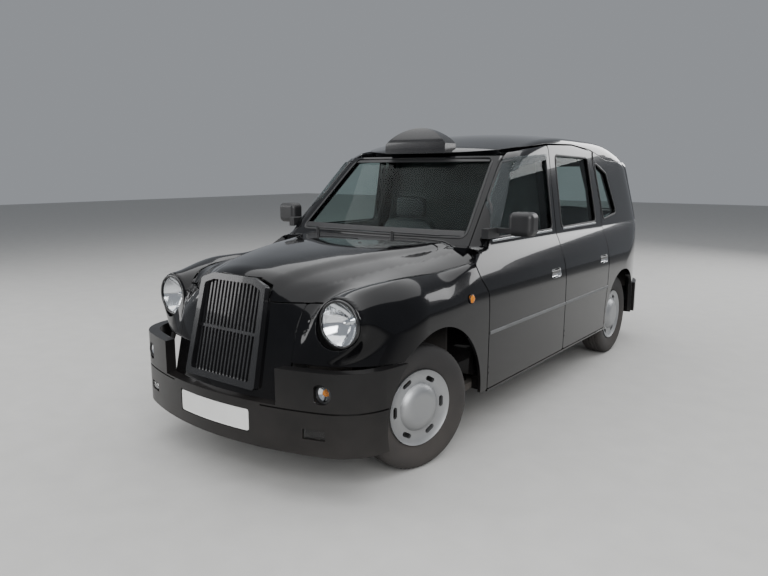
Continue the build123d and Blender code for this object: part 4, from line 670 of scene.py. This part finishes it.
def bead(name, path, section, material, slot, body="cab_body", closed=False, sign=1):
    """A section carried along a path on the cabin: its first value lies across the path and its second along the
    cabin's normal."""
    out = normals(path, cabin_depth)
    ahead = np.roll(path, -1, axis=0) - np.roll(path, 1, axis=0) if closed else np.gradient(path, axis=0)
    across = np.cross(ahead, out)
    across /= np.linalg.norm(across, axis=1, keepdims=True)
    rings = path[:, None] + section[None, :, :1] * across[:, None] + section[None, :, 1:] * out[:, None]
    return woven(name, rings, material, slot, body, loop=closed, sign=sign)


def even(outline, count):
    """The closed outline as count points at even distances along it."""
    o = np.vstack([outline, outline[:1]])
    run = np.append(0, np.cumsum(np.linalg.norm(np.diff(o, axis=0), axis=1)))
    t = np.linspace(0, run[-1], count, endpoint=False)
    return np.stack([np.interp(t, run, o[:, k]) for k in (0, 1)], 1)


# Rays that run level forwards from inside the cabin.
ahead_ray = rays(lambda x, z: ((x, -.2, z), (0, -1, 0)))
AHEAD_REACH = 2.5
black_rubber = finish("black_rubber", (.012, .012, .013), .5, grain=700, bump=.2, depth=.0004)
bright_metal = finish("bright_metal", (.72, .73, .74), .16, metallic=1.0, grain=600, bump=.03, fleck=.06)
seal_section = rounded(((-.009, -.004), (.007, -.004), (.007, .0035), (-.002, .0050), (-.009, .002)), .003)
strip_section = rounded(((-.006, -.003), (.006, -.003), (.006, .0055), (-.006, .0055)), .002)
for side, sign in SIDES:
    for name, outline, door, strip in (("front_window", front_window, "front_door", (-.82, .035)),
                                       ("rear_window", rear_window, "rear_door", (.235, .885)),
                                       ("quarter_window", quarter_window, None, None)):
        body = f"{door}_{side}" if door else "cab_body"
        y, z = even(outline, 92).T
        path = cast(*side_ray(y, z), cabin_depth)
        if outline is front_window:
            seam = pillar_x(z) + .014
            path = np.where((path[:, 0] < seam)[:, None], cast(*ahead_ray(seam, z), cabin_depth, AHEAD_REACH), path)
        bead(f"{name}_seal_{side}", path, seal_section, black_rubber, "tyre_rubber", body, True, sign)
        if door:
            path = cast(*side_ray(np.linspace(*strip, 60), 1.150), cabin_depth)
            bead(f"{name}_strip_{side}", path, strip_section, bright_metal, "tyre_rubber", body, sign=sign)
for name, outline, ray in (("windscreen", screen_hole, ahead_ray), ("tail_window", tail_window, tail_ray)):
    path = cast(*ray(*even(outline, 160).T), cabin_depth, AHEAD_REACH)
    bead(f"{name}_seal", path, seal_section, black_rubber, "tyre_rubber", closed=True)
for name, z, half, wide in (("windscreen_foot_band", 1.190, .635, .022), ("windscreen_top_band", 1.622, .545, .014)):
    path = cast(*ahead_ray(np.linspace(-half, half, 60), z), cabin_depth, AHEAD_REACH)
    band = rounded(((-wide, -.003), (wide, -.003), (wide, .0012), (-wide, .0012)), .001)
    bead(name, path, band, black_rubber, "tyre_rubber")

# Smoked acrylic deflectors that follow the front and top edges of the front door glass.
smoked = finish("smoked_acrylic", (.30, .33, .34), .03, grain=6, bump=.01, fleck=.06, Transmission_Weight=.9, IOR=1.1)
deflector = rounded(((-.868, 1.160), (-.520, 1.605), (-.339, 1.648), (.050, 1.668), (.050, 1.628), (-.325, 1.592),
                     (-.480, 1.545), (-.775, 1.160)), .012)


def deflector_depth(p):
    """Depth inside the cabin grown sideways by 11 mm."""
    return cabin_depth(p - (.011, 0, 0))


def deflector_edge(p):
    """Distance inside the deflector's side view and behind the screen pillar."""
    return np.minimum(inside(p[:, 1:], deflector), p[:, 0] - pillar_x(p[:, 2]) - .012)


for side, sign in SIDES:
    panel(f"deflector_{side}", np.linspace(-.88, .06, 64), np.linspace(1.15, 1.68, 40), side_ray, deflector_depth,
          deflector_edge, .003, f"front_door_{side}", roll=.001, sign=sign, materials=(smoked,))

# -------- Rub strips and handles
# Grey vinyl strips along the doors, and recessed handles: a bright dished cup with a dark lifting flap.
strip_vinyl = finish("rub_strip_vinyl", (.115, .118, .12), .55, grain=500, bump=.2, depth=.0004)
rub_section = rounded(((-.011, -.002), (.011, -.002), (.009, .0058), (-.009, .0058)), .003)


def plaque(name, outline, lay, front, back, material, slot, body="cab_body", sign=1, steps=12):
    """A thin form over an outline: rings of the outline shrunk towards its middle rise by front across its face
    and return by back behind it, each a height or a rule for the ring's share of the outline; lay turns flat
    points and heights into places."""
    middle = (outline.min(0) + outline.max(0)) / 2
    share = np.sin(np.linspace(.03, 1, steps) * math.pi / 2)
    rise = np.concatenate([face(s) if callable(face) else np.full(steps, face)
                           for face, s in ((front, share), (back, share[::-1]))])
    share = np.concatenate([share, share[::-1]])
    flat = middle + (outline - middle)[None] * share[:, None, None]
    rings = lay(flat.reshape(-1, 2), np.repeat(rise, len(outline))).reshape(len(share), len(outline), 3)
    return woven(name, rings, material, slot, body, sign=sign)


def laid(ray):
    """Lays flat points on the cabin along a family of rays, raised by heights along its normals."""
    def lay(q, height):
        """Places of the flat points q."""
        p = cast(*ray(*q.T), cabin_depth)
        return p + normals(p, cabin_depth) * height[:, None]
    return lay


def rolled(level, drop, power):
    """Face of a plaque: level in the middle and lower by drop at its edge, by a power of the ring's share."""
    return lambda share: level - drop * share ** power


def dish(share):
    """Face of a handle's cup: a steep side down to a flat floor 17 mm deep."""
    return .001 - .017 * (1 - share ** 6)


def dish_back(share):
    """Back of a handle's cup, which turns outwards at its rim."""
    return -.004 - .017 * (1 - share ** 6) * (share < .99)


on_side, on_tail = laid(side_ray), laid(tail_ray)
flap_section = rounded(((-.014, -.005), (.012, -.005), (.013, .003), (-.008, .006)), .004)
for side, sign in SIDES:
    for door, low, high in (("front_door", -.990, .108), ("rear_door", .122, .984)):
        path = cast(*side_ray(np.linspace(low, high, 80), .640), cabin_depth)
        bead(f"{door}_rub_strip_{side}", path, rub_section, strip_vinyl, "gloss_black_plastic", f"{door}_{side}",
             sign=sign)
    for door, y in HANDLES:
        plaque(f"{door}_handle_cup_{side}", even(handle_hole(y), 96), on_side, dish, dish_back, bright_metal,
               "gloss_black_plastic", f"{door}_{side}", sign=sign)
        t = np.linspace(y - HANDLE_HALF + .007, y + HANDLE_HALF - .007, 40)
        path = on_side(np.stack([t, np.full_like(t, HANDLE_Z + .010)], 1), np.full_like(t, -.004))
        bead(f"{door}_handle_flap_{side}", path, flap_section, gloss_black, "gloss_black_plastic", f"{door}_{side}",
             sign=sign)

# -------- Lamps
# Round headlamps with a silvered bowl and a fluted lens, round and oblong lamps let into the bumper, amber side
# repeaters, and upright tail lamps in red, amber and clear.


def turned(centre, axis, profile, around, loop=False):
    """Rings of a form of revolution: profile rows are (distance along the axis, radius). With loop the profile
    is closed and the rings follow the turning."""
    w = np.asarray(axis, float) / np.linalg.norm(axis)
    s = np.cross(w, (0, 0, 1.0) if abs(w[2]) < .9 else (1.0, 0, 0))
    s /= np.linalg.norm(s)
    t = np.cross(s, w)
    a = np.linspace(0, 2 * np.pi, around, endpoint=False)
    spoke = np.cos(a)[:, None] * s + np.sin(a)[:, None] * t
    profile = np.asarray(profile, float)
    rings = np.asarray(centre) + profile[:, None, :1] * w + profile[:, None, 1:] * spoke[None]
    return rings.transpose(1, 0, 2) if loop else rings


def dome(radius, rise, thick, base, power=2.0, rows=24):
    """Profile of a crowned lens: along = base + rise (1 - (r/radius)^power) in front and the same less thick."""
    r = np.linspace(.01, 1, rows)
    front = np.stack([base + rise * (1 - r ** power), r * radius], 1)
    rear = np.stack([front[::-1, 0] - thick, front[::-1, 1]], 1)
    return np.concatenate([front, rear])


silvered = finish("silvered_bowl", (.86, .87, .88), .09, metallic=1.0, grain=120, bump=.03, fleck=.04)
clear = finish("lamp_glass", (.95, .96, .97), .03, grain=240, bump=.06, fleck=.02, Transmission_Weight=1.0, IOR=1.18)
amber = finish("amber_lamp_plastic", (.90, .30, .02), .16, grain=260, bump=.06, Transmission_Weight=.4, IOR=1.3)
red = finish("red_lamp_plastic", (.55, .012, .012), .16, grain=260, bump=.08, Transmission_Weight=.25, IOR=1.3)
milky = finish("clear_lamp_plastic", (.80, .80, .80), .18, grain=260, bump=.1, Transmission_Weight=.4, IOR=1.3)
LENS_RADIUS, LENS_ROWS, FLUTE = .1025, 34, .0125
shell = rounded(((-.106, .1190), (-.003, .1190), (.006, .1150), (.006, .1045), (-.003, .1030), (-.100, .1030)), .005)
r = np.linspace(.01, 1, 20)
bowl = np.stack([-.074 + .066 * r ** 2, r * LENS_RADIUS], 1)
bowl = np.concatenate([bowl, bowl[::-1] - (.003, 0)])
bulb = np.stack([-.074 + .040 * np.linspace(0, 1, 12), .013 * np.sqrt(1 - np.linspace(0, .99, 12) ** 4)], 1)
fluted = turned(LAMP, lamp_way, dome(LENS_RADIUS, .009, .0035, -.003, rows=LENS_ROWS), 132)
across = (fluted[:LENS_ROWS] - LAMP) @ np.cross(lamp_way, (0, 0, 1.0))
fluted[:LENS_ROWS] += (np.cos(across * 2 * np.pi / FLUTE) * .00055)[..., None] * lamp_way
bezel = rounded(((-.018, .0470), (.000, .0470), (.0035, .0455), (.0035, .0385), (-.014, .0330), (-.018, .0330)), .002)
front_lamp, repeater, forwards = (.647, -2.160, .547), (.873, -1.200, .870), (0, -1, 0)
lamp_pieces = (
    ("headlamp_shell", turned(LAMP, lamp_way, shell, 96, True), gloss_black, {"node": "headlamps", "loop": True}),
    ("headlamp_bowl", turned(LAMP, lamp_way, bowl, 96), silvered, {}),
    ("headlamp_bulb", turned(LAMP, lamp_way, bulb, 32), silvered, {}),
    ("headlamp_lens", fluted, clear, {"crease": 60}),
    ("front_lamp_bezel", turned(front_lamp, forwards, bezel, 64, True), satin_black,
     {"node": "marker_lamps", "loop": True}),
    ("front_lamp_bowl", turned(front_lamp, forwards, dome(.034, -.012, .002, -.005), 64), silvered, {}),
    ("front_lamp_bulb", turned(front_lamp, forwards, dome(.016, .012, .006, -.014), 40), amber, {}),
    ("front_lamp_lens", turned(front_lamp, forwards, dome(.0375, .0035, .002, -.001), 64), clear, {}),
    ("repeater", turned(repeater, (1, 0, 0), dome(.0235, .009, .008, -.001, 4), 48), amber, {}))
ring = rounded(((-.004, .0275), (.002, .0270), (.002, .0238), (-.004, .0238)), .001)
for side, sign in SIDES:
    for name, rings, material, more in lamp_pieces:
        more = {key: value for key, value in more.items() if key != "node" or sign > 0}
        woven(f"{name}_{side}", rings, material, "lamp_glass", sign=sign, **more)
    woven(f"repeater_ring_{side}", turned(repeater, (1, 0, 0), ring, 48, True), black_rubber, "tyre_rubber",
          loop=True, sign=sign)


def on_nose(q, height):
    """Points of the front bumper at (x, z), raised by a height: its plan is an arc of 1.924 m with corner arcs of
    0.306 m that meet it tangentially."""
    x = np.abs(q[:, 0])
    y = np.where(x < .656, -.3667 - np.sqrt(1.924 ** 2 - x ** 2),
                 -1.8871 - np.sqrt(np.clip(.306 ** 2 - (x - .5533) ** 2, .01, 1)))
    return np.stack([q[:, 0], y - height, q[:, 1]], 1)


for side, sign in SIDES:
    plaque(f"low_lamp_{side}", even(box_outline(.560, .660, .330, .370, .008), 96), on_nose,
           rolled(-.001, .006, 8), -.0135, clear, "lamp_glass", sign=sign)
    for name, low, high, material in (("clear", .722, .802, milky), ("amber", .806, .896, amber),
                                      ("red", .900, 1.058, red)):
        plaque(f"tail_lamp_{name}_{side}", even(box_outline(.562, .688, low, high, .014), 120), on_tail,
               rolled(.004, .005, 8), -.012, material, "lamp_glass", sign=sign, steps=16)

# -------- Plates
# Blank pressed number plates, white in front and yellow behind, with a rolled rim.
plate_white = finish("plate_white", (.78, .78, .76), .32, grain=160, bump=.06, fleck=.05, Coat_Weight=.4)
plate_yellow = finish("plate_yellow", (.75, .52, .06), .32, grain=160, bump=.06, fleck=.05, Coat_Weight=.4)


def plate_face(share):
    """Face of a plate: flat, with a rim 1.5 mm high pressed near its edge."""
    return -.0015 + .0015 * np.exp(-((share - .955) / .02) ** 2) - .002 * (share > .995)


plaque("front_plate", even(box_outline(-.257, .257, .312, .421, .012), 120), on_nose, plate_face, -.0048, plate_white,
       "grey_plastic", steps=26)
plaque("rear_plate", even(box_outline(-.257, .257, .625, .736, .012), 120), on_tail,
       lambda share: .005 + plate_face(share), -.001, plate_yellow, "grey_plastic", "boot_lid", steps=26)
x = np.linspace(-.16, .16, 50)
path = on_tail(np.stack([x, np.full_like(x, .775)], 1), np.full_like(x, .001))
grip = rounded(((-.014, -.004), (.014, -.004), (.011, .0045), (-.011, .0045)), .004)
bead("boot_handle", path, grip, gloss_black, "gloss_black_plastic", "boot_lid")

# -------- Small outside pieces
# Washer jets on the bonnet, the roof sign's blank dark panel, and the mirrors' glass.
for name, x, y in (("washer_jet_a", -.319, -1.331), ("washer_jet_b", .183, -1.316)):
    z = float(front_top(np.array([abs(x)]), np.array([y]))[0])
    woven(name, turned((x, y, z - .002), (0, 0, 1), dome(.011, .006, .005, .001, 3, 14), 32), satin_black,
          "gloss_black_plastic", "bonnet")
SIGN_FOOT, SIGN_HEIGHT = 1.690, .154
sign_face = rounded(((-.215, 1.690), (.215, 1.690), (.215, 1.728), (.120, 1.775), (0, 1.790), (-.120, 1.775),
                     (-.215, 1.728)), .025)


def on_sign(q, height):
    """Points on the sign's front, which leans back by a power of the height above its foot."""
    t = (q[:, 1] - SIGN_FOOT) / SIGN_HEIGHT
    return np.stack([q[:, 0], -.500 + .070 * np.clip(t, 0, 1) ** 2.6 - height, q[:, 1]], 1)


def on_mirror(q, height):
    """Points on the upright back plane of a mirror's housing."""
    return np.stack([q[:, 0], -.7148 + height, q[:, 1]], 1)


sign_panel = finish("sign_panel", (.030, .030, .032), .30, grain=300, bump=.06, fleck=.1, Coat_Weight=.3)
plaque("roof_sign_panel", even(sign_face, 140), on_sign, rolled(-.004, .002, 8), -.012, sign_panel,
       "gloss_black_plastic", steps=18)
for side, sign in SIDES:
    plaque(f"mirror_glass_{side}", even(box_outline(.874, 1.006, 1.192, 1.308, .030), 96), on_mirror,
           rolled(.0006, .0016, 2), -.004, silvered, "gloss_black_plastic", f"front_door_{side}",
           sign=sign)

# -------- Tyres
# Radial road tyres: a crowned tread with four grooves round it and slots across its shoulders.
rubber = finish("tyre_rubber", (.017, .017, .018), .72, grain=420, bump=.3, dust=.35)
TREAD_POINTS, AROUND, SLOT_STEPS, STEER = 33, 288, 4, math.radians(-15)
tread = np.linspace(-.066, .066, TREAD_POINTS)
grooves = sum(.0065 * np.exp(-((tread - groove_x) / .0032) ** 4) for groove_x in (-.042, -.015, .015, .042))
wall = np.array(((.0760, .3250), (.0845, .3080), (.0870, .2850), (.0850, .2600), (.0790, .2350), (.0720, .2150),
                 (.0675, .2055), (.0600, .2035)))
profile = np.concatenate([np.stack([tread, .3355 - .8 * tread ** 2 - grooves], 1), wall, (wall * (-1, 1))[::-1]])
shoulder = np.where(np.abs(tread) > .047, 1.0, 0.0) + np.where(np.abs(np.abs(tread) - .028) < .006, .5, 0)
phase = np.arange(AROUND)[:, None] * 2 * np.pi / SLOT_STEPS + np.sign(tread) * .8
slots = np.clip(np.cos(phase), 0, 1) * shoulder * .0045
for place in ("front_left", "front_right", "rear_left", "rear_right"):
    low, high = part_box("tyre_" + place)
    hub = (np.array(low) + np.array(high)) / 2
    turn = STEER if place.startswith("front") else 0
    rings = turned(hub, (math.cos(turn), math.sin(turn), 0), profile, AROUND, True)
    inward = hub - rings[:, :TREAD_POINTS]
    rings[:, :TREAD_POINTS] += inward / np.linalg.norm(inward, axis=2, keepdims=True) * slots[..., None]
    woven("tyre_tread_" + place, rings, rubber, "tyre_rubber", "wheel_" + place, "tyre_" + place, loop=True, crease=50)

# -------- Seats
# Vinyl seats: stuffed pads with crowned faces, drawn-in sides, piped seams and stitched valleys, on a plinth.
vinyl = finish("seat_vinyl", (.035, .036, .042), .5, grain=700, bump=.4, depth=.0006)


def cushion(name, centre, half, lean=0.0, valleys=(), node=None, across=(72, 64), face=2):
    """A stuffed pad: along each direction the radius is the inverse sixth root of summed sixth powers, so its
    faces crown and its edges round; sides draw in at mid-height, valleys press in across the face."""
    rise = np.linspace(-np.pi / 2, np.pi / 2, across[0] + 2)[1:-1, None]
    turn = np.linspace(0, 2 * np.pi, across[1], endpoint=False)[None]
    way = np.stack([np.cos(rise) * np.cos(turn), np.cos(rise) * np.sin(turn), np.sin(rise) + 0 * turn], 2)
    way = way / (np.abs(way) ** 6).sum(2, keepdims=True) ** (1 / 6)
    other = [k for k in (0, 1, 2) if k != face]
    a, b, c = way[..., other[0]], way[..., other[1]], way[..., face]
    crown = .86 + .14 * np.clip(1 - a ** 2, 0, 1) * np.clip(1 - b ** 2, 0, 1)
    seam = 1 - .030 * np.exp(-(np.abs(np.abs(c) - .62) / .07) ** 2) - .025 * (1 - c ** 2)
    press = sum((np.exp(-((a - at_a) / .035) ** 2) for at_a in valleys), np.zeros_like(a)) * (np.abs(b) < .93)
    way[..., other[0]], way[..., other[1]] = a * seam, b * seam
    way[..., face] = c * (crown - .10 * press)
    points = np.asarray(centre) + way * np.asarray(half)
    points[..., 1] += lean * (points[..., 2] - centre[2])
    woven(name, points, vinyl, "seat_vinyl", node=node, crease=70)

cushion("driver_cushion", (-.380, -.395, .550), (.245, .262, .070), valleys=(-.55, .55), node="driver_seat")
cushion("driver_back", (-.380, -.050, .880), (.238, .066, .312), lean=.172, valleys=(-.55, .55), face=1)
cushion("driver_headrest", (-.380, .020, 1.275), (.128, .039, .083), face=1)
plaque("driver_seat_plinth", even(box_outline(-.61, -.15, -.630, -.160, .04), 96),
       lambda q, height: np.stack([q[:, 0], q[:, 1], .332 + height], 1), rolled(.146, .012, 10), .001,
       satin_black, "seat_vinyl", steps=14)
cushion("bench_cushion", (0, 1.271, .652), (.552, .246, .106), valleys=(-.62, -.2, .2, .62), node="passenger_seats",
        across=(72, 96))
cushion("bench_back", (0, 1.555, 1.000), (.550, .058, .242), lean=.205, valleys=(-.62, -.2, .2, .62), face=1,
        across=(72, 96))
for side, sign in SIDES:
    cushion(f"folding_back_{side}", (sign * .330, .210, .735), (.208, .036, .262), valleys=(-.5, .5), face=1)
    cushion(f"folding_squab_{side}", (sign * .330, .283, .620), (.188, .033, .138), face=1)

# -------- Camera, floor and studio
# A plain pale floor, soft lamps round the cab, and the camera where the photograph was taken from.
floor_mesh = bpy.data.meshes.new("floor")
floor_mesh.from_pydata([(-30, -30, 0), (30, -30, 0), (30, 30, 0), (-30, 30, 0)], [], [(0, 1, 2, 3)])
floor_mesh.materials.append(finish("pale_floor", (.50, .495, .48), .85, grain=40, fleck=.04))
placed("floor", floor_mesh)


def soft_lamp(name, place, aim, size, watts):
    """A large oblong lamp that faces a point."""
    lamp = bpy.data.lights.new(name, "AREA")
    lamp.shape, lamp.size, lamp.size_y, lamp.energy = "RECTANGLE", *size, watts
    holder = placed(name, lamp)
    way = np.array(aim, float) - np.array(place, float)
    way /= np.linalg.norm(way)
    holder.rotation_euler = (math.acos(-way[2]), 0, math.atan2(way[1], way[0]) - math.pi / 2)
    holder.location = place


soft_lamp("sky_lamp", (0, 0, 7), (0, 0, 0), (12, 12), 760)
soft_lamp("key_lamp", (5.5, -6.5, 4.5), (0, -.5, .7), (5, 4), 520)
soft_lamp("fill_lamp", (-7, -5, 3.5), (0, 0, .8), (5, 4), 260)
soft_lamp("rear_lamp", (3, 8, 4), (0, .5, 1), (7, 3), 320)
world = bpy.data.worlds.new("studio")
world.use_nodes = True
world.node_tree.nodes["Background"].inputs["Color"].default_value = (.80, .84, .90, 1)
world.node_tree.nodes["Background"].inputs["Strength"].default_value = .36
bpy.context.scene.world = world
lens = bpy.data.cameras.new("photo_camera")
lens.lens, lens.sensor_width, lens.clip_end = 31.48, 36, 200
camera = placed("photo_camera", lens)
camera.location = (2.6446, -4.3418, 1.5574)
camera.rotation_euler = (math.radians(80.066), 0, math.radians(37.0665))
bpy.context.scene.camera = camera
